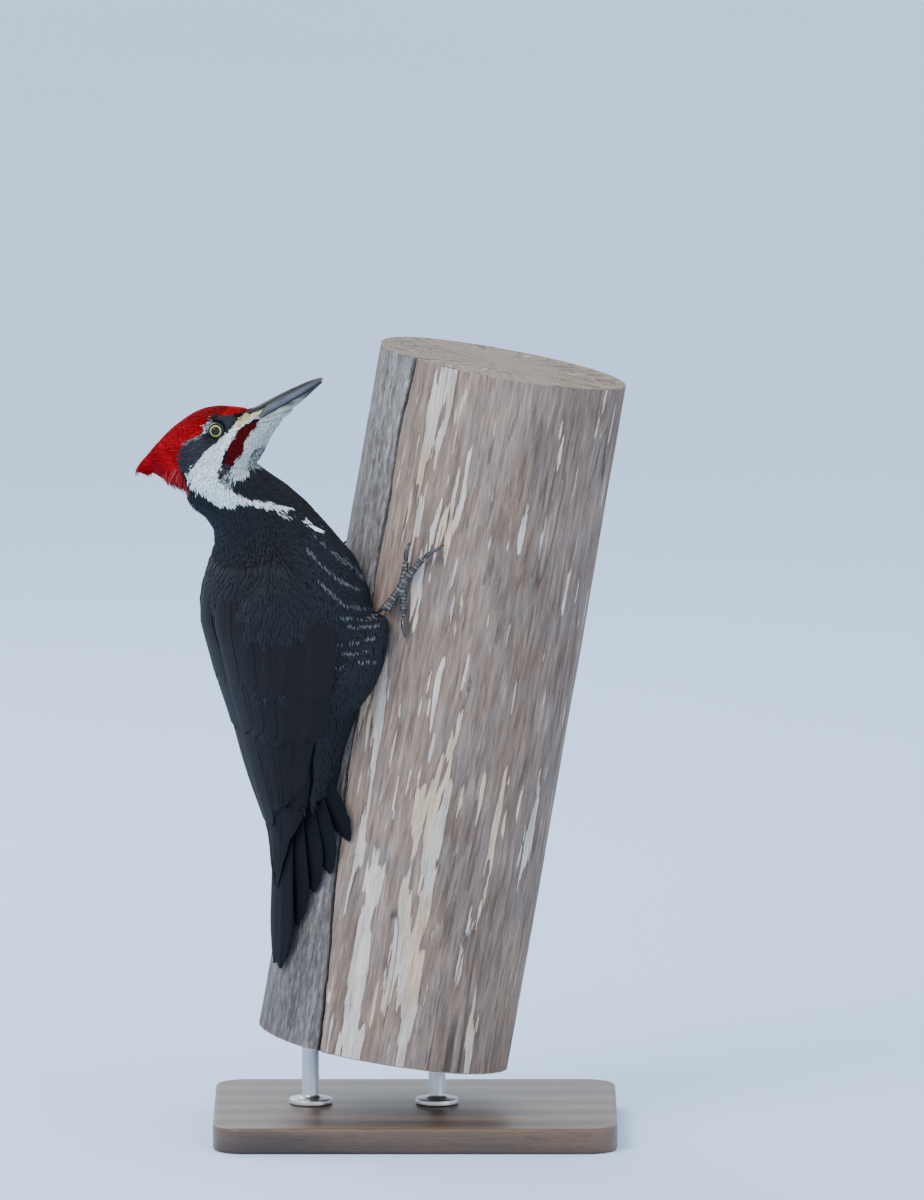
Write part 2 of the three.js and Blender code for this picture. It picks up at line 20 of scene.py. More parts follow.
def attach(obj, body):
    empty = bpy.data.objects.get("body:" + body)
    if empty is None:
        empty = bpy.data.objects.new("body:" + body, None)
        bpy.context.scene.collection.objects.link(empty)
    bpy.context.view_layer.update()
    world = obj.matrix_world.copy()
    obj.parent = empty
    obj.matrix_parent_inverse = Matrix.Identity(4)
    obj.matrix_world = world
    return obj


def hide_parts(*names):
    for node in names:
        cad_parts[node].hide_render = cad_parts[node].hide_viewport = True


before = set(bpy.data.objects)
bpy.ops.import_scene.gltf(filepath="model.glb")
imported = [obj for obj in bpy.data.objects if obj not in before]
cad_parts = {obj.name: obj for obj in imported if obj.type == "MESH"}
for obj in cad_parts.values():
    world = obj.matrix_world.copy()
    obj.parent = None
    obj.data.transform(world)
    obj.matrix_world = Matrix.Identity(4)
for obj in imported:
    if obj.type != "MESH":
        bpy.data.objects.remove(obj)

MM = 0.001
LOG = logging.getLogger("woodpecker")
Array = np.ndarray
Colour = tuple[float, float, float]


# ------------------------------------------------------------------------------ numbers and vectors
def unit(vectors: Array) -> Array:
    """Returns the vectors at length one."""
    return vectors / np.maximum(np.linalg.norm(vectors, axis=-1, keepdims=True), 1e-12)


def smooth(x: Array | float, low: float, high: float) -> Array:
    """Returns a smooth step of x from 0 at low to 1 at high."""
    t = np.clip((np.asarray(x, float) - low) / (high - low), 0.0, 1.0)
    return t * t * (3 - 2 * t)


def blend(a: Array, b: Array, share: Array | float) -> Array:
    """Returns a and b mixed, with share 0 for all a and 1 for all b."""
    return a * (1 - share) + b * share


def dot(a: Array, b: Array) -> Array:
    """Returns the dot products of rows."""
    return np.sum(a * b, axis=-1)


def ripple(points: Array, scale: float, seed: int, octaves: int = 3) -> Array:
    """Returns smooth seeded noise from about -1 to 1 at the points.

    Args:
        points: Places, any number of columns.
        scale: Size of the largest waves, in the points' own unit.
        seed: Picks the pattern.
        octaves: How many finer layers are added, each half the size.

    Returns:
        One value for each point.
    """
    rng = np.random.default_rng(seed)
    total = np.zeros(len(points))
    for octave in range(octaves):
        for _ in range(5):
            way = unit(rng.normal(size=points.shape[1])) * rng.uniform(0.7, 1.5)
            phase = rng.uniform(0, 2 * math.pi)
            total += np.sin(points @ way * (2 * math.pi / scale) * 2**octave + phase) * 0.5**octave
    return total / 3.2


def inside(outline: Sequence[tuple[float, float]], x: Array, y: Array) -> Array:
    """Returns True for each point (x, y) that lies inside the closed outline."""
    corners = np.array(outline, float)
    result = np.zeros(len(x), bool)
    previous = corners[-1]
    for corner in corners:
        crosses = (corner[1] > y) != (previous[1] > y)
        slope = (previous[0] - corner[0]) / (previous[1] - corner[1] + 1e-12)
        result ^= crosses & (x < slope * (y - corner[1]) + corner[0])
        previous = corner
    return result


# ------------------------------------------------------------------------------------ mesh tools
def deselect() -> None:
    """Leaves nothing selected."""
    if bpy.context.object and bpy.context.object.mode != "OBJECT":
        bpy.ops.object.mode_set(mode="OBJECT")
    bpy.ops.object.select_all(action="DESELECT")


def pick(piece: bpy.types.Object) -> None:
    """Selects one piece and makes it active."""
    deselect()
    piece.select_set(True)
    bpy.context.view_layer.objects.active = piece


def rename(piece: bpy.types.Object, name: str) -> bpy.types.Object:
    """Names a piece and its mesh, and returns the piece."""
    piece.name = name
    piece.data.name = name
    return piece


def coordinates(piece: bpy.types.Object) -> Array:
    """Returns the places of a piece's vertices, one row each."""
    places = np.empty(len(piece.data.vertices) * 3, np.float32)
    piece.data.vertices.foreach_get("co", places)
    return places.reshape(-1, 3).astype(float)


def set_coordinates(piece: bpy.types.Object, places: Array) -> None:
    """Moves a piece's vertices to the places given."""
    piece.data.vertices.foreach_set("co", places.astype(np.float32).ravel())
    piece.data.update()


def apply_modifier(piece: bpy.types.Object, kind: str, **settings: object) -> None:
    """Adds a modifier with its settings and applies it at once."""
    pick(piece)
    bpy.ops.object.modifier_add(type=kind)
    modifier = piece.modifiers[-1]
    for key, value in settings.items():
        setattr(modifier, key, value)
    bpy.ops.object.modifier_apply(modifier=modifier.name)


def apply_place(piece: bpy.types.Object) -> None:
    """Puts a piece's place into its mesh, and its object at the origin."""
    pick(piece)
    bpy.ops.object.transform_apply(location=True, rotation=True, scale=True)


def clean(piece: bpy.types.Object, distance: float = 1e-6) -> None:
    """Merges a closed piece's doubled vertices and turns its faces outwards."""
    pick(piece)
    bpy.ops.object.mode_set(mode="EDIT")
    bpy.ops.mesh.select_all(action="SELECT")
    bpy.ops.mesh.remove_doubles(threshold=distance)
    bpy.ops.mesh.normals_make_consistent(inside=False)
    bpy.ops.object.mode_set(mode="OBJECT")


def soften(piece: bpy.types.Object, angle: float | None = None) -> None:
    """Shades a piece smoothly, or only across edges flatter than an angle in degrees."""
    pick(piece)
    if angle is None:
        bpy.ops.object.shade_smooth()
    else:
        bpy.ops.object.shade_smooth_by_angle(angle=math.radians(angle))


def relax(piece: bpy.types.Object, values: Array, share: Array | float, rounds: int) -> Array:
    """Returns rows of values at a piece's vertices, drawn towards their neighbours' mean."""
    ends = np.empty(len(piece.data.edges) * 2, np.int32)
    piece.data.edges.foreach_get("vertices", ends)
    a, b = ends.reshape(-1, 2).T
    ends, others = np.concatenate([a, b]), np.concatenate([b, a])
    count = np.maximum(np.bincount(ends, minlength=len(values)), 1)[:, None]
    for _ in range(rounds):
        near = np.stack([np.bincount(ends, column[others], len(values)) for column in values.T], axis=1)
        values = blend(values, near / count, share)
    return values


def join(pieces: Sequence[bpy.types.Object], name: str) -> bpy.types.Object:
    """Joins pieces into one of the given name."""
    deselect()
    for piece in pieces:
        piece.select_set(True)
    bpy.context.view_layer.objects.active = pieces[0]
    bpy.ops.object.join()
    return rename(pieces[0], name)


def copy_node(node: str, name: str) -> bpy.types.Object:
    """Returns a merged copy of a CAD node's mesh as a new piece."""
    piece = bpy.data.objects.new(name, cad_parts[node].data.copy())
    bpy.context.scene.collection.objects.link(piece)
    piece.data.materials.clear()
    clean(piece, 2e-6)
    return piece


def wrapped(name: str, form: Callable[[Array, Array], Array], rings: int, sides: int) -> bpy.types.Object:
    """Lays a ball's grid on a closed form.

    Args:
        name: The new piece's name.
        form: Gives places from shares along (0 to 1) and angles around (0 to 2 pi).
        rings: Steps along.
        sides: Steps around.

    Returns:
        The closed piece, shaded smoothly.
    """
    deselect()
    bpy.ops.mesh.primitive_uv_sphere_add(segments=sides, ring_count=rings, radius=1.0)
    piece = rename(bpy.context.object, name)
    ball = coordinates(piece)
    along = np.arccos(np.clip(ball[:, 2], -1, 1)) / math.pi
    around = np.mod(np.arctan2(ball[:, 1], ball[:, 0]), 2 * math.pi)
    set_coordinates(piece, form(along, around))
    clean(piece)
    soften(piece)
    return piece


def piece_from_arrays(
    name: str,
    places: Array,
    faces: Sequence[Array],
    colours: Array | None = None,
    maps: dict[str, Array] | None = None,
) -> bpy.types.Object:
    """Makes one piece from arrays, for what is repeated thousands of times.

    Args:
        name: The new piece's name.
        places: Vertices, one row each.
        faces: Arrays of corners, each with one face a row.
        colours: A colour for each vertex, kept as the attribute Tint.
        maps: UV maps by name, with one row for each vertex.

    Returns:
        The piece, shaded smoothly.
    """
    mesh = bpy.data.meshes.new(name)
    corners = np.concatenate([f.ravel() for f in faces]).astype(np.int32)
    sizes = np.concatenate([np.full(len(f), f.shape[1]) for f in faces]).astype(np.int32)
    mesh.vertices.add(len(places))
    mesh.vertices.foreach_set("co", places.astype(np.float32).ravel())
    mesh.loops.add(len(corners))
    mesh.loops.foreach_set("vertex_index", corners)
    mesh.polygons.add(len(sizes))
    mesh.polygons.foreach_set("loop_start", np.concatenate([[0], np.cumsum(sizes)[:-1]]).astype(np.int32))
    mesh.polygons.foreach_set("use_smooth", np.ones(len(sizes), bool))
    mesh.update(calc_edges=True)
    for key, values in (maps or {}).items():
        layer = mesh.uv_layers.new(name=key)
        layer.data.foreach_set("uv", values[corners].astype(np.float32).ravel())
    mesh.validate()
    piece = bpy.data.objects.new(name, mesh)
    bpy.context.scene.collection.objects.link(piece)
    if colours is not None:
        paint(piece, colours)
    return piece


def paint(piece: bpy.types.Object, colours: Array) -> None:
    """Keeps a colour for each vertex of a piece as its attribute Tint."""
    layer = piece.data.color_attributes.new(name="Tint", type="FLOAT_COLOR", domain="POINT")
    rows = np.concatenate([colours, np.ones((len(colours), 1))], axis=1)
    layer.data.foreach_set("color", rows.astype(np.float32).ravel())


# ------------------------------------------------------------------------------------ shader tools
Value = "Socket | float"


class Socket:
    """A node's output, on which Python's arithmetic adds Math nodes."""

    def __init__(self, net: "Net", link: bpy.types.NodeSocket) -> None:
        """Wraps a link that belongs to a net."""
        self.net = net
        self.link = link

    def _math(self, operation: str, *values: Value) -> "Socket":
        """Adds a Math node on the values, in their order."""
        return self.net.node("ShaderNodeMath", {"operation": operation}, dict(enumerate(values)))

    def __add__(self, other: Value) -> "Socket":
        """Adds."""
        return self._math("ADD", self, other)

    __radd__ = __add__

    def __sub__(self, other: Value) -> "Socket":
        """Takes away."""
        return self._math("SUBTRACT", self, other)

    def __rsub__(self, other: Value) -> "Socket":
        """Takes this away from a number."""
        return self._math("SUBTRACT", other, self)

    def __mul__(self, other: Value) -> "Socket":
        """Multiplies."""
        return self._math("MULTIPLY", self, other)

    __rmul__ = __mul__

    def __truediv__(self, other: Value) -> "Socket":
        """Divides."""
        return self._math("DIVIDE", self, other)

    def __pow__(self, other: Value) -> "Socket":
        """Raises to a power."""
        return self._math("POWER", self, other)

    def sine(self) -> "Socket":
        """Returns the sine of an angle in radians."""
        return self._math("SINE", self)

    def size(self) -> "Socket":
        """Returns the value without its sign."""
        return self._math("ABSOLUTE", self)

    def least(self, other: Value) -> "Socket":
        """Returns the smaller of two."""
        return self._math("MINIMUM", self, other)

    def most(self, other: Value) -> "Socket":
        """Returns the larger of two."""
        return self._math("MAXIMUM", self, other)

    def step(self, low: float, high: float) -> "Socket":
        """Returns a smooth step from 0 at low to 1 at high."""
        settings = {"interpolation_type": "SMOOTHSTEP"}
        return self.net.node("ShaderNodeMapRange", settings, {0: self, 1: low, 2: high})


class Net:
    """A material's nodes, ending in one Principled surface."""

    def __init__(self, name: str) -> None:
        """Starts an empty material."""
        self.material = bpy.data.materials.new(name)
        self.material.use_nodes = True
        self.tree = self.material.node_tree
        self.tree.nodes.clear()

    def node(
        self,
        kind: str,
        settings: dict[str, object] | None = None,
        inputs: dict[int | str, object] | None = None,
        output: int | str = 0,
    ) -> Socket:
        """Adds a node.

        Args:
            kind: The node's type.
            settings: Its properties, set first.
            inputs: Values or sockets for its inputs, by index or name.
            output: Which of its outputs is wanted.

        Returns:
            That output.
        """
        made = self.tree.nodes.new(kind)
        for key, value in (settings or {}).items():
            if key == "stops":
                self._stops(made.color_ramp, value)
            else:
                setattr(made, key, value)
        for key, value in (inputs or {}).items():
            if isinstance(value, Socket):
                self.tree.links.new(value.link, made.inputs[key])
            else:
                made.inputs[key].default_value = value
        return Socket(self, made.outputs[output] if len(made.outputs) else None)

    @staticmethod
    def _stops(ramp: bpy.types.ColorRamp, stops: Sequence[tuple[float, Colour]]) -> None:
        """Sets a ramp's stops from places and colours."""
        while len(ramp.elements) < len(stops):
            ramp.elements.new(0.5)
        for element, (place, colour) in zip(ramp.elements, stops):
            element.position = place
            element.color = (*colour, 1.0)

    def object_place(self, turn: tuple[float, float, float] = (0, 0, 0), at: Array | None = None) -> Socket:
        """Returns Object coordinates from a point, turned to a piece's own axes.

        Args:
            turn: The piece's own turn, in radians about X, Y and Z.
            at: The point that becomes the middle.
        """
        place = self.node("ShaderNodeTexCoord", output="Object")
        centre = tuple(float(v) for v in (np.zeros(3) if at is None else at))
        settings = {"vector_type": "TEXTURE"}
        return self.node("ShaderNodeMapping", settings, {0: place, 1: centre, 2: turn})

    def map_place(self, name: str) -> Socket:
        """Returns a UV map's coordinates."""
        return self.node("ShaderNodeUVMap", {"uv_map": name})

    def tint(self) -> Socket:
        """Returns the colour painted on a piece's vertices."""
        return self.node("ShaderNodeAttribute", {"attribute_name": "Tint"}, output="Color")

    def axes(self, place: Socket) -> tuple[Socket, Socket, Socket]:
        """Returns the three numbers of a place."""
        first = self.node("ShaderNodeSeparateXYZ", inputs={0: place})
        outputs = first.link.node.outputs
        return first, Socket(self, outputs[1]), Socket(self, outputs[2])

    def stretch(self, place: Socket, scale: tuple[float, float, float]) -> Socket:
        """Returns a place scaled differently along each axis."""
        return self.node("ShaderNodeVectorMath", {"operation": "MULTIPLY"}, {0: place, 1: scale})

    def noise(self, place: Socket, scale: float, detail: float = 3.0, rough: float = 0.5) -> Socket:
        """Returns noise from 0 to 1."""
        inputs = {"Vector": place, "Scale": scale, "Detail": detail, "Roughness": rough}
        return self.node("ShaderNodeTexNoise", inputs=inputs)

    def cells(self, place: Socket, scale: float, feature: str = "DISTANCE_TO_EDGE") -> Socket:
        """Returns a cell pattern's distance."""
        return self.node("ShaderNodeTexVoronoi", {"feature": feature}, {"Vector": place, "Scale": scale})

    def mix(self, share: Value, first: object, second: object, way: str = "MIX") -> Socket:
        """Returns two colours mixed."""
        settings = {"data_type": "RGBA", "blend_type": way}
        values = [v if isinstance(v, Socket) else (*v, 1.0) for v in (first, second)]
        return self.node("ShaderNodeMix", settings, {0: share, 6: values[0], 7: values[1]}, output=2)

    def shade(self, colour: Socket, amount: Socket) -> Socket:
        """Returns a colour made lighter or darker by a number."""
        return self.node("ShaderNodeVectorMath", {"operation": "SCALE"}, {0: colour, 3: amount})

    def ramp(self, value: Socket, stops: Sequence[tuple[float, Colour]]) -> Socket:
        """Returns the colour that a ramp gives a value."""
        return self.node("ShaderNodeValToRGB", {"stops": stops}, {0: value})

    def bump(self, height: Socket, distance: float, strength: float = 1.0) -> Socket:
        """Returns a normal from a height."""
        return self.node("ShaderNodeBump", inputs={"Height": height, "Distance": distance, "Strength": strength})

    def surface(self, **sockets: object) -> bpy.types.Material:
        """Ends the material in a Principled surface.

        Args:
            sockets: Values or links by the surface's socket names, with _ for a space.

        Returns:
            The finished material.
        """
        inputs = {key.replace("_", " "): value for key, value in sockets.items()}
        shader = self.node("ShaderNodeBsdfPrincipled", inputs=inputs)
        self.node("ShaderNodeOutputMaterial", inputs={0: shader})
        return self.material


# ------------------------------------------------------------------------------------ where things are
@dataclass(frozen=True)
class Trunk:
    """The perch's own frame. Places on it are millimetres up it and off it, and degrees round it."""

    radius: float = 82.5
    length: float = 486.0
    lean: float = math.radians(10.1)
    foot: tuple[float, float, float] = (-29.0, 0.0, 60.0)
    middle: float = 28.0  # degrees round to the bird's own middle plane

    @property
    def axis(self) -> Array:
        """Returns the way up along the trunk."""
        return np.array([math.sin(self.lean), 0.0, math.cos(self.lean)])

    @property
    def across(self) -> Array:
        """Returns the way across the trunk, to +X."""
        return np.array([math.cos(self.lean), 0.0, -math.sin(self.lean)])

    def outward(self, turn: Array | float) -> Array:
        """Returns the way straight out from the trunk's middle at a turn in degrees."""
        angle = np.radians(np.asarray(turn, float))[..., None]
        return -np.cos(angle) * self.across - np.sin(angle) * np.array([0.0, 1.0, 0.0])

    def at(self, up: Array | float, turn: Array | float, off: Array | float) -> Array:
        """Returns places from millimetres up, degrees round and millimetres off the bark."""
        up, off = np.asarray(up, float)[..., None], np.asarray(off, float)[..., None]
        middle = np.array(self.foot) + self.axis * up
        return (middle + self.outward(turn) * (self.radius + off)) * MM

    def coords(self, places: Array) -> tuple[Array, Array, Array]:
        """Returns millimetres up, degrees round and millimetres off the bark of places."""
        from_foot = places / MM - np.array(self.foot)
        out, back = -from_foot @ self.across, -from_foot[..., 1]
        return from_foot @ self.axis, np.degrees(np.arctan2(back, out)), np.hypot(out, back) - self.radius

    def keep_off(self, places: Array, gap: float = 0.3) -> Array:
        """Returns places moved straight out where they were inside the bark."""
        up, turn, off = self.coords(places)
        clear = self.at(up, turn, np.maximum(off, gap))
        near = (off < gap) & (up > -2) & (up < self.length + 2)
        return np.where(near[..., None], clear, places)


TRUNK = Trunk()


@dataclass(frozen=True)
class Head:
    """The head's own frame, from between its eyes: x to the bill, y to its right, z to its crown."""

    up: float = 419.8
    turn: float = 28.0
    off: float = 125.3
    pitch: float = math.radians(29.5)
    yaw: float = math.radians(2)
    eye_side: float = 13.9
    eye_radius: float = 6.2

    @property
    def origin(self) -> Array:
        """Returns the place between the eyes."""
        return TRUNK.at(self.up, self.turn, self.off)

    @property
    def axes(self) -> Array:
        """Returns the head's three directions, one a row."""
        pitch, yaw = self.pitch, self.yaw
        level = math.cos(pitch)
        forward = np.array([level * math.cos(yaw), -level * math.sin(yaw), math.sin(pitch)])
        right = np.array([-math.sin(yaw), -math.cos(yaw), 0.0])
        return np.array([forward, right, np.cross(right, forward)])

    def at(self, x: Array | float, y: Array | float, z: Array | float) -> Array:
        """Returns places from millimetres along the head's directions."""
        rows = np.stack(np.broadcast_arrays(*(np.asarray(v, float) for v in (x, y, z))), axis=-1)
        return self.origin + rows @ self.axes * MM

    def coords(self, places: Array) -> Array:
        """Returns places as millimetres along the head's directions."""
        return (places - self.origin) @ self.axes.T / MM


HEAD = Head()


class Loft:
    """A form lofted through stations on the trunk: up, turn, off, back, belly, side, square."""

    def __init__(self, stations: Sequence[Sequence[float]]) -> None:
        """Keeps the stations and the line through their middles."""
        self.rows = np.array(stations, float)
        self.line = TRUNK.at(self.rows[:, 0], self.rows[:, 1], self.rows[:, 2])

    @staticmethod
    def _curve(points: Array, along: Array) -> Array:
        """Returns a smooth curve through evenly spaced points, at shares along it."""
        padded = np.concatenate([[2 * points[0] - points[1]], points, [2 * points[-1] - points[-2]]])
        place = np.clip(along, 0, 1) * (len(points) - 1)
        k = np.minimum(place.astype(int), len(points) - 2)
        t = (place - k)[..., None]
        a, b, c, d = (padded[k + i] for i in range(4))
        return 0.5 * (2 * b + (c - a) * t + (2 * a - 5 * b + 4 * c - d) * t**2 + (3 * b - a - 3 * c + d) * t**3)

    def axes(self, along: Array) -> tuple[Array, Array, Array, Array]:
        """Returns the middle, the way along, the way to the back and the way to the right side."""
        along = np.asarray(along, float)
        low, high = np.clip(along, 0.002, 0.998) - 0.002, np.clip(along, 0.002, 0.998) + 0.002
        way = unit(self._curve(self.line, high) - self._curve(self.line, low))
        back = TRUNK.outward(self._curve(self.rows[:, 1:2], along)[..., 0])
        back = unit(back - way * dot(back, way)[..., None])
        return self._curve(self.line, along), way, back, np.cross(way, back)

    def along(self, up: Array) -> Array:
        """Returns the shares along at which the middle is so far up the trunk."""
        return np.interp(up, self.rows[:, 0], np.linspace(0, 1, len(self.rows)))

    def place(self, along: Array, angle: Array, rise: Array | float = 0.0) -> Array:
        """Returns places on the form.

        Args:
            along: Shares along the stations.
            angle: Angles in radians from the middle of the back to the right.
            rise: Millimetres above the form.

        Returns:
            The places.
        """
        middle, _, back, right = self.axes(along)
        deep, belly, side, square = np.moveaxis(self._curve(self.rows[:, 3:7], along), -1, 0)
        c, s = np.cos(angle), np.abs(np.sin(angle))
        depth = np.maximum(np.where(c > 0, deep, belly), 0.5)
        reach = ((np.abs(c) / depth) ** square + (s / np.maximum(side, 0.5)) ** square) ** (-1 / square)
        reach = (reach + rise)[..., None] * MM
        return middle + (back * np.cos(angle)[..., None] + right * np.sin(angle)[..., None]) * reach

    def coords(self, places: Array) -> tuple[Array, Array, Array]:
        """Returns places as shares along, angles from the back, and the way along there."""
        shares = np.linspace(0, 1, 160)
        line, way, back, right = self.axes(shares)
        nearest = np.concatenate(
            [np.argmin(((part[:, None] - line) ** 2).sum(-1), axis=1) for part in np.array_split(places, 40)]
        )
        arm = places - line[nearest]
        angle = np.arctan2(dot(arm, right[nearest]), dot(arm, back[nearest]))
        return shares[nearest], angle, way[nearest]


BODY = Loft(
    [
        (150, 27.5, 12, 8, 8, 8, 2),
        (170, 27.6, 16, 14, 24, 31, 2.2),
        (184, 27.8, 20, 20, 35, 36, 2.3),
        (203, 28, 27, 27, 41, 38, 2.4),
        (228, 28.5, 35, 31.5, 54, 44, 2.4),
        (260, 28.5, 44, 39.5, 66, 51, 2.4),
        (292, 28.2, 50, 50.5, 67, 53, 2.4),
        (322, 28, 57, 51, 56, 51, 2.3),
        (347, 28, 68, 43, 37, 44, 2.2),
        (366, 28, 84, 32, 28, 34, 2.1),
        (382, 28, 101, 32, 20, 27.5, 2),
        (397, 28, 113, 34, 16, 23, 2),
        (420, 28, 126, 20, 14, 17, 2),
    ]
)
FOLD = Loft(
    [
        (101, 23.5, 6, 6.5, 8, 8, 2),
        (118, 25, 8, 11, 9, 15, 2),
        (142, 26, 12, 14, 11, 21, 2.1),
        (172, 27.5, 18, 23.5, 20, 31, 2.2),
        (203, 28, 27, 30.5, 30, 37.5, 2.3),
        (228, 28.5, 35, 34, 44, 45.5, 2.4),
        (260, 28.5, 44, 42, 60, 53, 2.4),
        (292, 28.2, 50, 52.5, 66, 55.5, 2.4),
        (322, 28, 57, 53, 56, 53, 2.3),
        (345, 28, 67, 46.5, 45, 47, 2.2),
    ]
)


# ------------------------------------------------------------------------------------ the markings
class Mark(Enum):
    """The colours of the plumage, skin and bare parts, as linear red, green and blue."""

    BLACK = (0.0057, 0.0065, 0.0090)
    RED = (0.36, 0.0026, 0.0075)
    MALAR = (0.082, 0.002, 0.0032)
    EAR = (0.037, 0.039, 0.048)
    WHITE = (0.79, 0.87, 0.84)
    THROAT = (0.475, 0.54, 0.53)
    MOTTLE = (0.155, 0.165, 0.16)
    CREAM = (0.62, 0.55, 0.29)
    LORE = (0.012, 0.013, 0.016)
    LID = (0.55, 0.66, 0.72)
    BAR = (0.17, 0.18, 0.19)


Outline = Sequence[tuple[float, float]]
OUTLINES: Sequence[tuple[Mark, Outline]] = (
    (
        Mark.RED,
        [(23.5, 15.5), (19, 11.5), (14.9, 9.5), (8, 7), (-0.8, 6), (-8.3, 0), (-15, -8), (-24, -16), (-25, -34)]
        + [(-40, -50), (-74, -40), (-74, 6), (-40, 30), (0, 40), (24, 30)],
    ),
    (
        Mark.EAR,
        [(12.1, 8.8), (14, 7), (10.5, 0.7), (3.8, -7), (-1.8, -13), (-11.5, -22.5), (-19.9, -34), (-24.3, -36)]
        + [(-25.7, -32), (-26.2, -20.9), (-24.5, -13.6), (-20.8, -8.6), (-15, -5.2), (-10.2, -3), (-9.2, 2.4)]
        + [(-4.8, 6.7), (-0.5, 8.2), (3.8, 8.8)],
    ),
    (Mark.LORE, [(7.4, 0), (5.8, 5), (0.5, 7.4), (-4, 6), (-6.2, 0), (-4.4, -5), (0, -6.8), (5, -5)]),
    (
        Mark.BAR,
        [(-9.5, -2.9), (-13, -4.6), (-20, -8.6), (-23.4, -11.8), (-22.8, -12.8), (-19.5, -9.9), (-13, -6), (-9.5, -4.6)],
    ),
    (
        Mark.WHITE,
        [(13.5, 4), (9.3, -0.7), (3.8, -6.3), (-1.8, -11.1), (-7.4, -16), (-11.5, -20.9), (-15, -25), (-19.9, -31.3)]
        + [(-22.9, -34.8), (-20.6, -38.2), (-12.9, -43.8), (-6, -47.3), (-0.4, -52.5), (9.3, -54.6), (17.7, -51.6)]
        + [(28.8, -52.6), (39.9, -56.1), (49.7, -56.6), (52.4, -55.8), (45.5, -52.6), (34.4, -49.8), (23.2, -48.6)]
        + [(13.5, -44.8), (6.5, -39.6), (1.7, -34.1), (3.1, -27.8), (4.5, -20.9), (7.2, -13.9), (11.4, -7)]
        + [(14.9, -0.7), (20.4, 3.5), (29.5, 7), (30, 11.5), (23.2, 9), (17.7, 5.5)],
    ),
    (Mark.WHITE, [(57.8, -62.8), (60.5, -62.2), (65, -65.3), (72.6, -70.6), (71.9, -72), (62.5, -66.8)]),
    (Mark.MOTTLE, [(43, -57.5), (48.5, -58.6), (53, -61.2), (49, -61.8), (44.5, -60)]),
    (
        Mark.THROAT,
        [(29.5, 5.3), (29, 10), (36, 15), (60, 27), (60, -10), (40, -20), (33, -22), (29, -26), (21.8, -27.8)]
        + [(20.2, -32), (14.9, -35.5), (10.7, -34.1), (9.3, -28.5), (12.1, -24.3), (15.6, -20.2), (19, -15.3)]
        + [(20.2, -7.6), (23.9, -2.8), (27.4, 1.4)],
    ),
    (Mark.MOTTLE, [(34, -10), (36, -20), (29, -27), (20, -28.8), (21.5, -24.5), (23.5, -18.5), (27, -12)]),
    (Mark.MOTTLE, [(9.3, -28.3), (6.6, -28), (2.6, -34), (6.5, -40), (11, -41.5), (14.5, -37), (11, -35)]),
    (Mark.EAR, [(5.4, -22.4), (10.8, -23.4), (8.3, -27.8), (4.4, -34), (1.8, -30.5)]),
    (
        Mark.MALAR,
        [(29.5, 5.3), (21.8, 3.5), (16.6, 1.4), (12.8, -5.6), (8.2, -11.8), (7.9, -18.1), (5.6, -23.6), (11.4, -24.2)]
        + [(15.6, -20.2), (19, -15.3), (20.2, -7.6), (23.9, -2.8), (27.4, 1.4)],
    ),
    (
        Mark.CREAM,
        [(13.6, 2.2), (14.4, 4.8), (17.7, 7.6), (23.2, 10), (32.7, 14.4), (34.5, 13.8), (28.8, 10.2), (23.2, 7.2)]
        + [(17.7, 3.9), (15.3, 1.2)],
    ),
    (Mark.LID, [(-8.6, 3), (-6.2, 5.6), (-3, 7.2), (-1.6, 6.2), (-3.4, 4.6), (-5.4, 1.4), (-6.1, -2.2), (-9.7, -3.7), (-9, -0.7)]),
    (
        Mark.BLACK,
        [(-23, -35), (-20.6, -38.6), (-12.9, -44.4), (-6, -48), (-0.4, -53.6), (9.3, -56.4), (4, -60), (-1, -65)]
        + [(-14, -58), (-28, -47), (-29, -37), (-25.6, -33)],
    ),
)

# Rows of pale feather tips on the flank, from the eye in profile as the outlines are.
BAR_ROWS: Sequence[Outline] = (
    [(63.8, -71.2), (72.8, -79.5), (83.8, -89), (94, -97.5)],
    [(61.8, -82.2), (71.4, -92.6), (81.8, -103), (97, -110.5)],
    [(70, -104.3), (78.3, -112.6), (88.7, -122.3), (98, -123)],
    [(84.5, -90.4), (94.2, -97.3), (104, -107)],
    [(95, -123.8), (106, -124.6)],
    [(84.5, -130.4), (97, -131.2), (109.7, -131.8)],
    [(89.4, -136.1), (99, -136.8), (110.7, -136.6)],
    [(84.5, -148.8), (97, -147.2), (110.7, -143.4)],
    [(84.5, -155.4), (97, -154.4), (109.7, -151.7)],
    [(98.3, -161.3), (109.7, -160.9)],
    [(83.8, -164.7), (88, -164)],
)


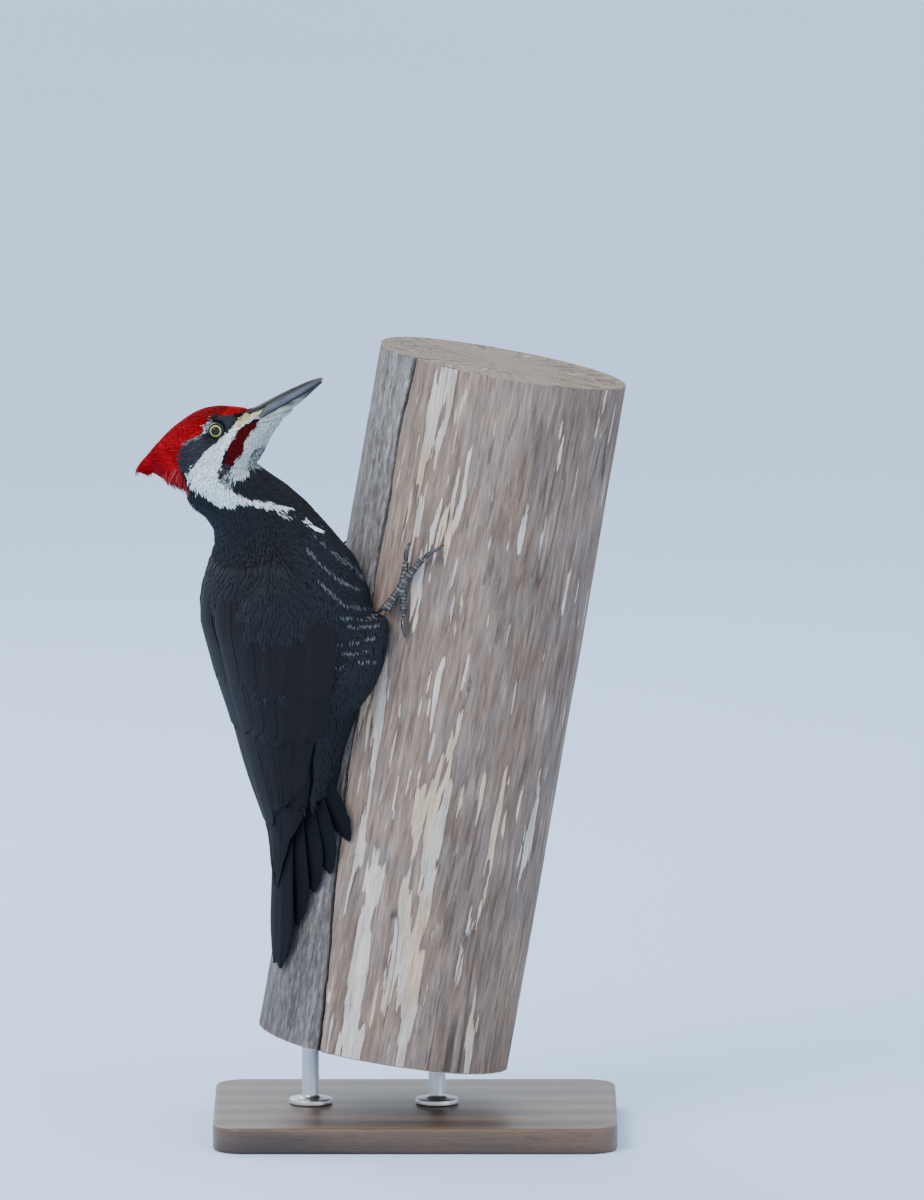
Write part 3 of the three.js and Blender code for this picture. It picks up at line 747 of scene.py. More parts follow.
class Markings:
    """Which colour the bird is at each place, the same on its skin and its feathers."""

    eye = (-137.0, 485.2)  # the eye in profile, in millimetres
    tilt = math.radians(8)

    def right_side(self, places: Array) -> Array:
        """Returns places, with those on the bird's left side mirrored onto its right."""
        up = TRUNK.coords(places)[0]
        share = smooth(up, 365, 400)[:, None]
        angle = math.radians(TRUNK.middle)
        flank = math.sin(angle) * TRUNK.across - math.cos(angle) * np.array([0.0, 1.0, 0.0])
        side = unit(blend(flank, HEAD.axes[1], share))
        middle = blend(np.array(TRUNK.foot) * MM, HEAD.origin, share)
        past = dot(places - middle, side)
        return places - 2 * np.minimum(past, 0)[:, None] * side

    def profile(self, places: Array) -> tuple[Array, Array]:
        """Returns places as seen in profile, in millimetres from the eye."""
        at = self.right_side(places) / MM
        return at[:, 0] - self.eye[0], at[:, 2] * math.cos(self.tilt) + at[:, 1] * math.sin(self.tilt) - self.eye[1]

    def marks(self, places: Array, rough: float, rng: np.random.Generator) -> Array:
        """Returns the index of the outline over each place, or -1 for plain black.

        Args:
            places: Where to look.
            rough: How far in millimetres the edges are broken up.
            rng: Seeded numbers.

        Returns:
            One index for each place.
        """
        x, y = self.profile(places)
        x = x + rng.normal(0, rough, len(x))
        y = y + rng.normal(0, rough, len(y))
        found = np.full(len(x), -1)
        above = TRUNK.coords(places)[0] > 325
        for k, (_, outline) in enumerate(OUTLINES):
            found[inside(outline, x, y) & above] = k
        return found

    def colours(self, places: Array, rough: float, rng: np.random.Generator) -> Array:
        """Returns the colour at each place, as marks finds it."""
        table = np.array([mark.value for mark, _ in OUTLINES] + [Mark.BLACK.value])
        mixed = np.array([mark is Mark.MOTTLE for mark, _ in OUTLINES] + [False])
        found = self.marks(places, rough, rng)
        fleck = 0.15 + 3.2 * rng.uniform(size=len(places)) ** 1.6
        return table[found] * np.where(mixed[found], fleck, 1.0)[:, None]

    def barred(self, places: Array, rng: np.random.Generator) -> Array:
        """Returns how far each place lies in the pale broken rows of the flank, from 0 to 1."""
        x, y = self.profile(places)
        spot = np.stack([x + 0.35 * ripple(places / MM, 9, 7, 1), y], axis=1)
        nearest = np.full(len(spot), 99.0)
        for row in BAR_ROWS:
            ends = np.array(row)
            for a, b in zip(ends[:-1], ends[1:]):
                share = np.clip((spot - a) @ (b - a) / ((b - a) @ (b - a)), 0, 1)[:, None]
                nearest = np.minimum(nearest, np.linalg.norm(spot - blend(a, b, share), axis=1))
        return (nearest < 0.95) * rng.uniform(0.35, 1.0, len(x)) * (ripple(places / MM, 7, 8, 1) > -0.45)


MARKINGS = Markings()


# ------------------------------------------------------------------------------------ finishes
@dataclass(frozen=True)
class PlumageFinish:
    """Soft barbed feather over the colour painted on each tuft."""

    name: str = "plumage"
    roughness: float = 0.62
    sheen: float = 0.03
    gloss: float = 0.26
    barb: float = 0.5  # millimetres between barbs

    def make(self) -> bpy.types.Material:
        """Builds the material."""
        net = Net(self.name)
        vane = net.map_place("Vane")
        fine = net.noise(net.stretch(vane, (1.0 / self.barb, 0.16 / self.barb, 1.0)), 1.0, 2.0, 0.6)
        broad = net.noise(net.object_place(), 90.0, 2.0)
        colour = net.shade(net.tint(), (0.62 + 0.76 * fine) * (0.86 + 0.28 * broad))
        height = fine * 0.7 + broad * 0.3
        return net.surface(
            Base_Color=colour,
            Roughness=(self.roughness - 0.1 + 0.22 * fine),
            Specular_IOR_Level=self.gloss,
            Sheen_Weight=self.sheen,
            Sheen_Roughness=0.45,
            Sheen_Tint=(0.78, 0.86, 1.0, 1.0),
            Normal=net.bump(height, 0.00012, 0.6),
        )


@dataclass(frozen=True)
class QuillFinish:
    """The closed vanes of wing and tail feathers, dull, with slanting barbs."""

    name: str = "wing_feather"
    gloss: float = 0.15

    def make(self) -> bpy.types.Material:
        """Builds the material."""
        net = Net(self.name)
        vane = net.map_place("Vane")
        across, along, _ = net.axes(vane)
        slant = along - across.size() * 1.1
        barbs = (slant * 14.0).sine() * 0.5 + 0.5
        cloud = net.noise(net.stretch(vane, (0.35, 0.05, 1.0)), 1.0, 3.0)
        streak = net.noise(net.stretch(vane, (2.2, 0.05, 1.0)), 1.0, 2.0)
        return net.surface(
            Base_Color=net.shade(net.tint(), 0.5 + 0.6 * cloud + 0.4 * streak),
            Roughness=0.62 + 0.2 * cloud + 0.06 * barbs,
            Specular_IOR_Level=self.gloss,
            Sheen_Weight=0.02,
            Sheen_Roughness=0.5,
            Sheen_Tint=(0.8, 0.88, 1.0, 1.0),
            Normal=net.bump(barbs * 0.6 + streak * 0.6, 0.00012, 0.5),
        )


@dataclass(frozen=True)
class SkinFinish:
    """Down and feather bases, hardly seen between the tufts."""

    name: str = "down"

    def make(self) -> bpy.types.Material:
        """Builds the material."""
        net = Net(self.name)
        place = net.object_place()
        fluff = net.noise(place, 900.0, 3.0, 0.65)
        return net.surface(
            Base_Color=net.shade(net.tint(), 0.4 + 0.5 * fluff),
            Roughness=0.75 + 0.15 * fluff,
            Specular_IOR_Level=0.2,
            Normal=net.bump(fluff, 0.0004, 0.7),
        )


@dataclass(frozen=True)
class HornFinish:
    """Bill or claw horn: the painted colour, with growth lines and small scuffs."""

    name: str = "bill_horn"
    roughness: float = 0.46
    coat: float = 0.05
    gloss: float = 0.2

    def make(self) -> bpy.types.Material:
        """Builds the material."""
        net = Net(self.name)
        place = net.object_place((0.0, -HEAD.pitch, 0.0), HEAD.origin)
        lines = net.noise(net.stretch(place, (60.0, 900.0, 900.0)), 1.0, 4.0, 0.6)
        scuffs = net.noise(place, 420.0, 4.0, 0.7)
        worn = scuffs.step(0.55, 0.75)
        colour = net.shade(net.tint(), 0.66 + 0.62 * lines + 0.3 * worn)
        return net.surface(
            Base_Color=colour,
            Roughness=self.roughness + 0.14 * lines + 0.2 * worn,
            Specular_IOR_Level=self.gloss,
            Coat_Weight=self.coat,
            Coat_Roughness=0.22,
            Normal=net.bump(lines * 0.7 + scuffs * 0.5, 0.00008, 0.6),
        )


@dataclass(frozen=True)
class EyeFinish:
    """A wet eye: black pupil, pale ringed iris and a dark edge, over one painted ball."""

    name: str = "eye"

    def make(self) -> bpy.types.Material:
        """Builds the material."""
        net = Net(self.name)
        streaks = net.noise(net.object_place(), 1700.0, 3.0, 0.6)
        return net.surface(
            Base_Color=net.shade(net.tint(), 0.82 + 0.34 * streaks),
            Roughness=0.2 + 0.1 * streaks,
            Specular_IOR_Level=0.12,
            Coat_Weight=1.0,
            Coat_IOR=1.28,
            Coat_Roughness=0.02,
        )


@dataclass(frozen=True)
class ScaleFinish:
    """Scaled skin of the feet: dry plates with fine wrinkles, over the painted colour."""

    name: str = "scales"

    def make(self) -> bpy.types.Material:
        """Builds the material."""
        net = Net(self.name)
        place = net.object_place()
        cells = net.cells(place, 1100.0).step(0.0, 0.16)
        fine = net.noise(place, 2600.0, 3.0, 0.6)
        return net.surface(
            Base_Color=net.shade(net.tint(), 0.55 + 0.32 * cells + 0.3 * fine),
            Roughness=0.5 + 0.2 * fine,
            Specular_IOR_Level=0.4,
            Normal=net.bump(cells * 0.6 + fine * 0.4, 0.0001, 0.8),
        )


@dataclass(frozen=True)
class BareWoodFinish:
    """Weathered, debarked wood: grey fibre, pale torn flakes, dark stains and a rough strip by the crack, with painted
    shade in the crack and on the side away from the key light.
    """

    name: str = "bare_wood"

    def make(self) -> bpy.types.Material:
        """Builds the material."""
        net = Net(self.name)
        place = net.object_place((0.0, TRUNK.lean, 0.0), np.array(TRUNK.foot) * MM)
        x, y, z = net.axes(place)
        sway = net.noise(net.stretch(place, (5.0, 5.0, 3.0)), 1.0, 2.0)
        bend = net.stretch(sway, (0.014, 0.014, 0.0))
        bent = net.node("ShaderNodeVectorMath", {"operation": "ADD"}, {0: place, 1: bend})

        def grain(width: float, length: float, detail: float = 3.0, rough: float = 0.6) -> Socket:
            """Returns noise in streaks about so many millimetres wide and long."""
            return net.noise(net.stretch(bent, (1000 / width, 1000 / width, 1000 / length)), 1.0, detail, rough)

        # The painted channels are painted shade for the crack, the rough strip, and the zone of pale flakes.
        painted = net.node("ShaderNodeAttribute", {"attribute_name": "Tint"}, output="Vector")
        crack, strip, zone = net.axes(painted)
        keep = 1.0 - strip
        fine, fibre, cord, broad = grain(1.25, 15, 3, 0.7), grain(3.0, 34, 2), grain(8.5, 80, 2), grain(30, 120, 2)
        flake = grain(13, 105, 2, 0.5) + (fibre - 0.5) * 0.2 + (fine - 0.5) * 0.1 + zone * 0.13
        torn = flake.step(0.638, 0.652)
        sliver = (grain(4.6, 48, 1) + (fine - 0.5) * 0.14 + zone * 0.06).step(0.715, 0.73)
        side = (1.0 - ((x - 0.036) / 0.034).size()).most(0.0)
        dash = (grain(4.2, 42, 2) + (fibre - 0.5) * 0.2 + side * 0.07).step(0.645, 0.685)
        colour = net.ramp(
            broad * 0.35 + cord * 0.35 + fibre * 0.3,
            [(0.36, (0.122, 0.08, 0.062)), (0.46, (0.182, 0.129, 0.104)), (0.54, (0.236, 0.174, 0.145)), (0.66, (0.325, 0.249, 0.209))],
        )
        colour = net.mix(grain(36, 150, 2).step(0.48, 0.62) * 0.45, colour, (0.235, 0.158, 0.114))
        smudge = net.noise(net.stretch(bent, (60.0, 60.0, 26.0)), 1.0, 4.0, 0.65)
        colour = net.mix(smudge.step(0.5, 0.62) * 0.45, colour, (0.165, 0.152, 0.143))
        # Painted shade: the side towards +X, away from the key light, is darkened by up to a fifth.
        colour = net.shade(colour, 1.04 - 0.2 * x.step(0.0, 0.05))
        bark = net.noise(net.stretch(bent, (420.0, 420.0, 110.0)), 1.0, 4.0, 0.65)
        rough = net.ramp(bark * 0.7 + cord * 0.3, [(0.38, (0.072, 0.067, 0.066)), (0.5, (0.158, 0.152, 0.153)), (0.64, (0.31, 0.305, 0.31))])
        colour = net.mix(strip * 0.85, colour, net.shade(rough, 0.62 + 0.42 * z.step(0.06, 0.3)))
        colour = net.shade(colour, 1.0 - 0.22 * flake.step(0.595, 0.635) * keep)
        colour = net.mix(dash * 0.55 * keep, colour, (0.078, 0.052, 0.042))
        pale = net.mix(grain(34, 110, 1).step(0.5, 0.62), (0.49, 0.425, 0.385), (0.5, 0.37, 0.265))
        colour = net.mix(torn.most(sliver) * 0.92 * keep, colour, net.shade(pale, 0.72 + 0.56 * cord))
        colour = net.shade(colour, 1.25 * fine + 0.95 * fibre - 0.1)
        hair = (1.0 - ((grain(30, 460, 1) - 0.5) / 0.009).size()).most(0.0) * grain(26, 130).step(0.5, 0.56)
        colour = net.shade(colour, 1.0 - 0.55 * hair)
        reach = (x * x + y * y) ** 0.5
        ends = (z - TRUNK.length * MM / 2).size().step(0.2421, 0.2425)
        rings = ((reach + (broad - 0.5) * 0.006) * 2600.0).sine() * 0.5 + 0.5
        spoke = net.node("ShaderNodeCombineXYZ", inputs={0: x / reach * 5.0, 1: y / reach * 5.0, 2: reach * 12.0})
        check = (1.0 - ((net.noise(spoke, 1.0, 3.0) - 0.5) / 0.02).size()).most(0.0)
        sawn = net.shade(net.mix(rings, (0.15, 0.118, 0.09), (0.25, 0.208, 0.165)), 1.15 - 0.7 * check)
        colour = net.mix(ends, colour, sawn)
        height = fine * 0.35 + fibre * 0.4 + cord * 0.35 + broad * 0.2 - torn * 0.3 - dash * 0.2 - hair * 0.6 + bark * strip * 0.6
        # Painted shade: the crack darkens the wood's colour to as little as a tenth.
        return net.surface(
            Base_Color=net.shade(colour, 0.1 + 0.9 * crack),
            Roughness=0.74 + 0.18 * fibre,
            Specular_IOR_Level=0.2,
            Normal=net.bump(height, 0.0012, 0.9),
        )


@dataclass(frozen=True)
class PlinthFinish:
    """Dark oiled hardwood with open grain."""

    name: str = "oiled_wood"

    def make(self) -> bpy.types.Material:
        """Builds the material."""
        net = Net(self.name)
        place = net.object_place((0.0, 0.02, 0.03), np.array([-0.03, 0.02, -0.05]))
        warp = net.noise(net.stretch(place, (2.5, 9.0, 9.0)), 1.0, 3.0)
        _, y, z = net.axes(place)
        rings = ((y * 150.0 + z * 130.0 + warp * 9.0).sine() * 0.5 + 0.5)
        pores = net.noise(net.stretch(place, (45.0, 1500.0, 1500.0)), 1.0, 3.0, 0.6)
        fleck = net.noise(net.stretch(place, (8.0, 120.0, 120.0)), 1.0, 4.0)
        colour = net.ramp(
            rings * 0.45 + fleck * 0.55,
            [(0.25, (0.028, 0.0155, 0.0095)), (0.5, (0.058, 0.032, 0.019)), (0.75, (0.098, 0.056, 0.033))],
        )
        colour = net.shade(colour, 1.2 - 0.6 * pores.step(0.5, 0.72))
        return net.surface(
            Base_Color=colour,
            Roughness=0.36 + 0.22 * pores,
            Coat_Weight=0.18,
            Coat_Roughness=0.25,
            Normal=net.bump(pores.step(0.45, 0.7) * -0.5 + fleck * 0.3, 0.0002, 0.5),
        )


@dataclass(frozen=True)
class SteelFinish:
    """Brushed steel with fine lines round it."""

    name: str = "brushed_steel"

    def make(self) -> bpy.types.Material:
        """Builds the material."""
        net = Net(self.name)
        place = net.object_place()
        lines = net.noise(net.stretch(place, (60.0, 60.0, 5200.0)), 1.0, 2.0)
        smudge = net.noise(place, 60.0, 3.0)
        return net.surface(
            Base_Color=net.mix(smudge, (0.38, 0.39, 0.41), (0.56, 0.57, 0.59)),
            Metallic=1.0,
            Roughness=0.26 + 0.14 * lines + 0.1 * smudge,
            Normal=net.bump(lines, 0.00003, 0.5),
        )


@dataclass(frozen=True)
class FloorFinish:
    """Plain pale studio floor."""

    name: str = "pale_floor"

    def make(self) -> bpy.types.Material:
        """Builds the material."""
        net = Net(self.name)
        soft = net.noise(net.object_place(), 1.2, 2.0)
        colour = net.mix(soft, (0.54, 0.705, 0.965), (0.57, 0.745, 0.995))
        return net.surface(Base_Color=colour, Roughness=0.85 + 0.1 * soft)


@dataclass
class Finishes:
    """Every finish, built once."""

    plumage: bpy.types.Material = field(default_factory=lambda: PlumageFinish().make())
    crest: bpy.types.Material = field(default_factory=lambda: PlumageFinish("crest_plumage", sheen=0.0, gloss=0.06).make())
    quill: bpy.types.Material = field(default_factory=lambda: QuillFinish().make())
    rectrix: bpy.types.Material = field(default_factory=lambda: QuillFinish("tail_feather", 0.08).make())
    down: bpy.types.Material = field(default_factory=lambda: SkinFinish().make())
    bill: bpy.types.Material = field(default_factory=lambda: HornFinish().make())
    claw: bpy.types.Material = field(default_factory=lambda: HornFinish("claw_horn", 0.26, 0.4, 0.5).make())
    eye: bpy.types.Material = field(default_factory=lambda: EyeFinish().make())
    scales: bpy.types.Material = field(default_factory=lambda: ScaleFinish().make())
    wood: bpy.types.Material = field(default_factory=lambda: BareWoodFinish().make())
    plinth: bpy.types.Material = field(default_factory=lambda: PlinthFinish().make())
    steel: bpy.types.Material = field(default_factory=lambda: SteelFinish().make())


def hand_over(piece: bpy.types.Object, finish: bpy.types.Material, slot: str, *nodes: str) -> None:
    """Dresses a finished piece and puts it on the model.

    Args:
        piece: The piece.
        finish: Its material.
        slot: Not used.
        nodes: The CAD nodes that it stands for.
    """
    piece.data.materials.clear()
    piece.data.materials.append(finish)
    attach(piece, "root")
    if nodes:
        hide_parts(*nodes)
    LOG.info("%s: %d faces", piece.name, len(piece.data.polygons))


# ------------------------------------------------------------------------------------ form and skin
def polygons(piece: bpy.types.Object) -> list[tuple[int, ...]]:
    """Returns a piece's faces as tuples of corners."""
    return [tuple(face.vertices) for face in piece.data.polygons]


class Plumage:
    """The bird's outer form, which its feathers lie on, and the ways that they lie."""

    PARTS = ("head", "crest", "neck", "torso", "wing_right", "wing_left", "thigh_right", "thigh_left")

    def __init__(self) -> None:
        """Joins the feathered nodes into one closed form and keeps its arrays."""
        parts = [copy_node(node, f"form_{node}") for node in self.PARTS]
        places, faces, self.part_of = [], [], []
        for k, part in enumerate(parts):
            start = sum(len(p) for p in places)
            places.append(coordinates(part))
            new = [tuple(start + c for c in face) for face in polygons(part)]
            faces += new
            self.part_of += [k] * len(new)
        self.sources = BVHTree.FromPolygons(np.concatenate(places).tolist(), faces)
        self.piece = join(parts, "form")
        apply_modifier(self.piece, "REMESH", mode="VOXEL", voxel_size=1.35 * MM)
        apply_modifier(self.piece, "SMOOTH", factor=0.5, iterations=7)
        self._round_thighs()
        self._sink_eyes()
        self.places = coordinates(self.piece)
        self.faces = np.array([face for face in polygons(self.piece) if len(face) == 4])
        self.tree = BVHTree.FromPolygons(self.places.tolist(), self.faces.tolist())
        normals = np.empty(len(self.places) * 3, np.float32)
        self.piece.data.vertices.foreach_get("normal", normals)
        self.normals = normals.reshape(-1, 3).astype(float)
        self.face_normals = unit(self.normals[self.faces].mean(axis=1))

    def _round_thighs(self) -> None:
        """Rounds the corner where each thigh meets its bare shank."""
        places = coordinates(self.piece)
        x, y = MARKINGS.profile(places)
        near = 0.7 * (1 - smooth(np.hypot(x - 106, y + 128), 9, 24)) * (TRUNK.coords(places)[2] > 3)
        set_coordinates(self.piece, relax(self.piece, places, near[:, None], 60))

    def _sink_eyes(self) -> None:
        """Draws the form in round each eye."""
        places = coordinates(self.piece)
        at = HEAD.coords(places)
        near = np.hypot(at[:, 0], at[:, 2])
        inwards = 2.1 * (1 - smooth(near, 3.6, 9.5)) * (np.abs(at[:, 1]) > 8)
        at[:, 1] -= np.sign(at[:, 1]) * inwards
        set_coordinates(self.piece, HEAD.at(at[:, 0], at[:, 1], at[:, 2]))

    def snap(self, places: Array) -> tuple[Array, Array, Array]:
        """Returns the nearest places on the form, their normals and how far away they are."""
        find = self.tree.find_nearest
        hits = [find(place) for place in places.tolist()]
        index = np.array([hit[2] for hit in hits])
        return np.array([hit[0] for hit in hits]), self.face_normals[index], np.array([hit[3] for hit in hits])

    def part(self, places: Array) -> Array:
        """Returns the index in PARTS of what each place belongs to."""
        find = self.sources.find_nearest
        part_of = np.array(self.part_of)
        return part_of[np.array([find(place)[2] for place in places.tolist()])]

    def scatter(self, spacing: float, seed: int, chosen: Callable[[Array], Array]) -> Array:
        """Spreads places evenly over a part of the form.

        Args:
            spacing: Millimetres between neighbours, roughly.
            seed: Picks the places.
            chosen: Tells which of the form's face middles belong.

        Returns:
            The places.
        """
        rng = np.random.default_rng(seed)
        middles = self.places[self.faces].mean(axis=1)
        faces = self.faces[chosen(middles)]
        faces = np.repeat(faces, max(2, int(14 / spacing**2)), axis=0)
        s, t = rng.uniform(size=(2, len(faces), 1))
        corners = self.places[faces]
        points = blend(blend(corners[:, 0], corners[:, 1], s), blend(corners[:, 3], corners[:, 2], s), t)
        points = points[rng.permutation(len(points))]
        cells = np.floor((points / MM + rng.uniform(0, 9, 3)) / spacing).astype(np.int64)
        _, first = np.unique(cells @ np.array([1, 4096, 16777216]), return_index=True)
        return points[first]

    def lie(self, places: Array) -> Array:
        """Returns the way the feathers lie at each place."""
        up = TRUNK.coords(places)[0]
        at = HEAD.coords(places)
        body = -BODY.coords(places)[2]
        forward, _, crown = HEAD.axes
        tip = HEAD.at(-76.0, 0.0, 1.0)
        crest = unit(tip - places)
        rear = smooth(-at[:, 0], 8, 34) * smooth(at[:, 2], -26, -12)
        fall = 0.35 * smooth(-at[:, 2], 4, 16) * smooth(at[:, 0], -26, 4)
        fall = fall + 1.1 * smooth(-at[:, 2], 9, 20) * smooth(-at[:, 0], 25, 38)
        face = unit(-forward - crown * fall[:, None])
        pull = rear * (0.72 + 0.25 * smooth(-at[:, 0], 40, 54))
        head = unit(blend(face, crest, pull[:, None]))
        at_eye = places - HEAD.at(0.0, np.sign(at[:, 1]) * 18, 0.0)
        flow = smooth(12 - np.linalg.norm(at_eye, axis=1) / MM, 0, 6)[:, None]
        head = unit(head + unit(at_eye) * flow * 0.9)
        share = smooth(up, 372, 402) * smooth(at[:, 2], -46, -30)
        return unit(blend(body, head, share[:, None]))


@dataclass
class Skin:
    """The bird's one closed skin, under the coat."""

    depth: dict[str, float] = field(
        default_factory=lambda: {"head": 1.1, "crest": 1.8, "neck": 2.4, "torso": 3.2, "wing": 2.2, "thigh": 1.8}
    )

    def build(self, plumage: Plumage, finishes: Finishes) -> bpy.types.Object:
        """Draws the form in by the coat's depth, remeshes it and paints it.

        Args:
            plumage: The outer form.
            finishes: The finishes.

        Returns:
            The skin.
        """
        piece = plumage.piece.copy()
        piece.data = plumage.piece.data.copy()
        bpy.context.scene.collection.objects.link(piece)
        rename(piece, "skin")
        places, normals = coordinates(piece), plumage.normals
        depths = np.array([self.depth[name.split("_")[0]] for name in plumage.PARTS])
        depth = depths[plumage.part(places)]
        cast = plumage.tree.ray_cast
        inner = [cast(p, n) for p, n in zip((places - normals * 1e-5).tolist(), (-normals).tolist())]
        wall = np.array([hit[3] if hit[0] is not None else 1.0 for hit in inner]) / MM
        depth = np.minimum(depth, 0.3 * wall)
        depth = relax(piece, depth[:, None], 0.6, 8)
        set_coordinates(piece, places - normals * depth * MM)
        apply_modifier(piece, "REMESH", mode="VOXEL", voxel_size=1.5 * MM)
        apply_modifier(piece, "SMOOTH", factor=0.5, iterations=4)
        soften(piece)
        rng = np.random.default_rng(5)
        paint(piece, MARKINGS.colours(coordinates(piece), 0.3, rng) * 0.8)
        hand_over(piece, finishes.down, "plumage", *plumage.PARTS)
        return piece


# ------------------------------------------------------------------------------------ the coat
@dataclass
class Tufts:
    """Many tufts in arrays, one row each. Lengths are millimetres."""

    root: Array
    way: Array
    length: Array
    width: Array
    thick: Array
    sink: Array
    lift: Array
    colour: Array
    tip: Array | None = None

    def some(self, rows: Array) -> "Tufts":
        """Returns only the tufts of the rows given."""
        return Tufts(*(None if value is None else value[rows] for value in vars(self).values()))


@dataclass(frozen=True)
class Coat:
    """Makes tufts into one joined mesh: each is a closed three-sided lock that tapers to a point."""

    plumage: Plumage
    steps: int = 5
    most: int = 8200

    def _spine(self, tufts: Tufts, follow: float) -> tuple[Array, Array, Array]:
        """Leads every tuft along the form.

        Args:
            tufts: The tufts.
            follow: How strongly the tufts turn with the coat's own lie.

        Returns:
            Middles, normals and ways, each by step and tuft.
        """
        place, normal, _ = self.plumage.snap(tufts.root)
        way = tufts.way
        step = (tufts.length / self.steps * MM)[:, None]
        places, normals, ways = [place], [normal], []
        for _ in range(self.steps):
            if follow:
                way = unit(blend(way, self.plumage.lie(place), follow))
            way = unit(way - normal * dot(way, normal)[:, None])
            ways.append(way)
            ahead = place + way * step
            on, new, far = self.plumage.snap(ahead)
            free = (far > 0.55 * step[:, 0])[:, None]
            place, normal = np.where(free, ahead, on), np.where(free, normal, unit(normal + new))
            places.append(place)
            normals.append(normal)
        ways.append(way)
        return np.array(places), np.array(normals), np.array(ways)

    def build(
        self,
        name: str,
        tufts: Tufts,
        finish: bpy.types.Material,
        slot: str,
        follow: float = 0.3,
        spine: tuple[Array, Array, Array] | None = None,
    ) -> None:
        """Makes the tufts one piece, or several where they are many.

        Args:
            name: The piece's name.
            tufts: The tufts.
            finish: Their material.
            slot: The record's material slot.
            follow: How strongly the tufts turn with the coat's own lie.
            spine: Middles, normals and ways where they don't follow the form.
        """
        count = len(tufts.root)
        if count > self.most:
            order = np.argsort(BODY.coords(tufts.root)[1])
            for k, rows in enumerate(np.array_split(order, count // self.most + 1)):
                self.build(f"{name}_{k + 1}", tufts.some(rows), finish, slot, follow)
            return
        steps = self.steps
        middles, normals, ways = spine or self._spine(tufts, follow)
        t = np.linspace(0, 1, steps + 1)[:, None]
        rise = (-tufts.sink * (1 - t) ** 1.3 + tufts.lift * t**1.4)[..., None] * MM
        middles = middles + normals * rise
        sides = np.cross(normals, ways)
        taper = np.interp(t, [0, 0.15, 0.45, 0.7, 0.9, 1], [0.45, 0.8, 1, 0.88, 0.5, 0])
        half = (tufts.width / 2 * taper)[..., None] * MM
        thick = (tufts.thick * taper)[..., None] * MM
        left, right = middles - sides * half, middles + sides * half
        ridge = middles + normals * thick
        rings = np.stack([left[1:-1], right[1:-1], ridge[1:-1]], axis=2)
        inner = steps - 1
        body = rings.transpose(1, 0, 2, 3).reshape(count, inner * 3, 3)
        points = np.concatenate([middles[0][:, None], body, middles[-1][:, None]], axis=1)
        per = inner * 3 + 2
        quads, caps = [], []
        for r in range(inner - 1):
            for k in range(3):
                n = (k + 1) % 3
                quads.append([1 + r * 3 + k, 1 + (r + 1) * 3 + k, 1 + (r + 1) * 3 + n, 1 + r * 3 + n])
        for k in range(3):
            n = (k + 1) % 3
            caps.append([0, 1 + k, 1 + n])
            caps.append([per - 1, per - 1 - 3 + n, per - 1 - 3 + k])
        base = (np.arange(count) * per)[:, None, None]
        faces = [(base + np.array(quads)).reshape(-1, 4), (base + np.array(caps)).reshape(-1, 3)]
        places = TRUNK.keep_off(points.reshape(-1, 3))
        across = np.concatenate([[0], np.tile([-1, 1, 0], inner), [0]])
        along = np.concatenate([[0], np.repeat(t[1:-1, 0], 3), [1]])
        rng = np.random.default_rng(count)
        shift = rng.uniform(0, 60, (count, 2))
        vane = np.stack(
            [shift[:, :1] + across * tufts.width[:, None] / 2, shift[:, 1:] + along * tufts.length[:, None]], axis=-1
        )
        u, v, _ = BODY.coords(tufts.root)[1], BODY.coords(tufts.root)[0], None
        at = HEAD.coords(tufts.root)
        on_head = TRUNK.coords(tufts.root)[0] > 398
        u = np.where(on_head, np.arctan2(at[:, 1], at[:, 2] + 6), u) / (2 * math.pi) + 0.5
        v = np.where(on_head, 0.62 + 0.36 * (at[:, 0] + 80) / 130, 0.6 * v)
        patch = np.stack([u[:, None] + across * 0.0015, v[:, None] + along * 0.003], axis=-1)
        shade = (0.66 + 0.34 * along)[None, :, None]
        colours = tufts.colour[:, None, :] * shade
        if tufts.tip is not None:
            share = (smooth(along, 0.66, 0.85)[None, :] * tufts.tip[:, None])[..., None]
            colours = blend(colours, np.array(Mark.BAR.value), share)
        maps = {"OFBake": np.clip(patch, 0.001, 0.999).reshape(-1, 2), "Vane": vane.reshape(-1, 2)}
        piece = piece_from_arrays(name, places, faces, colours.reshape(-1, 3), maps)
        hand_over(piece, finish, slot)


@dataclass(frozen=True)
class Patch:
    """One area of the coat, and the size of its tufts in millimetres."""

    name: str
    spacing: float
    length: float
    width: float
    sink: float
    lift: float
    seed: int
    thick: float = 0.35
    rough: float = 0.7
    sway: float = 0.1
    slot: str = "plumage"


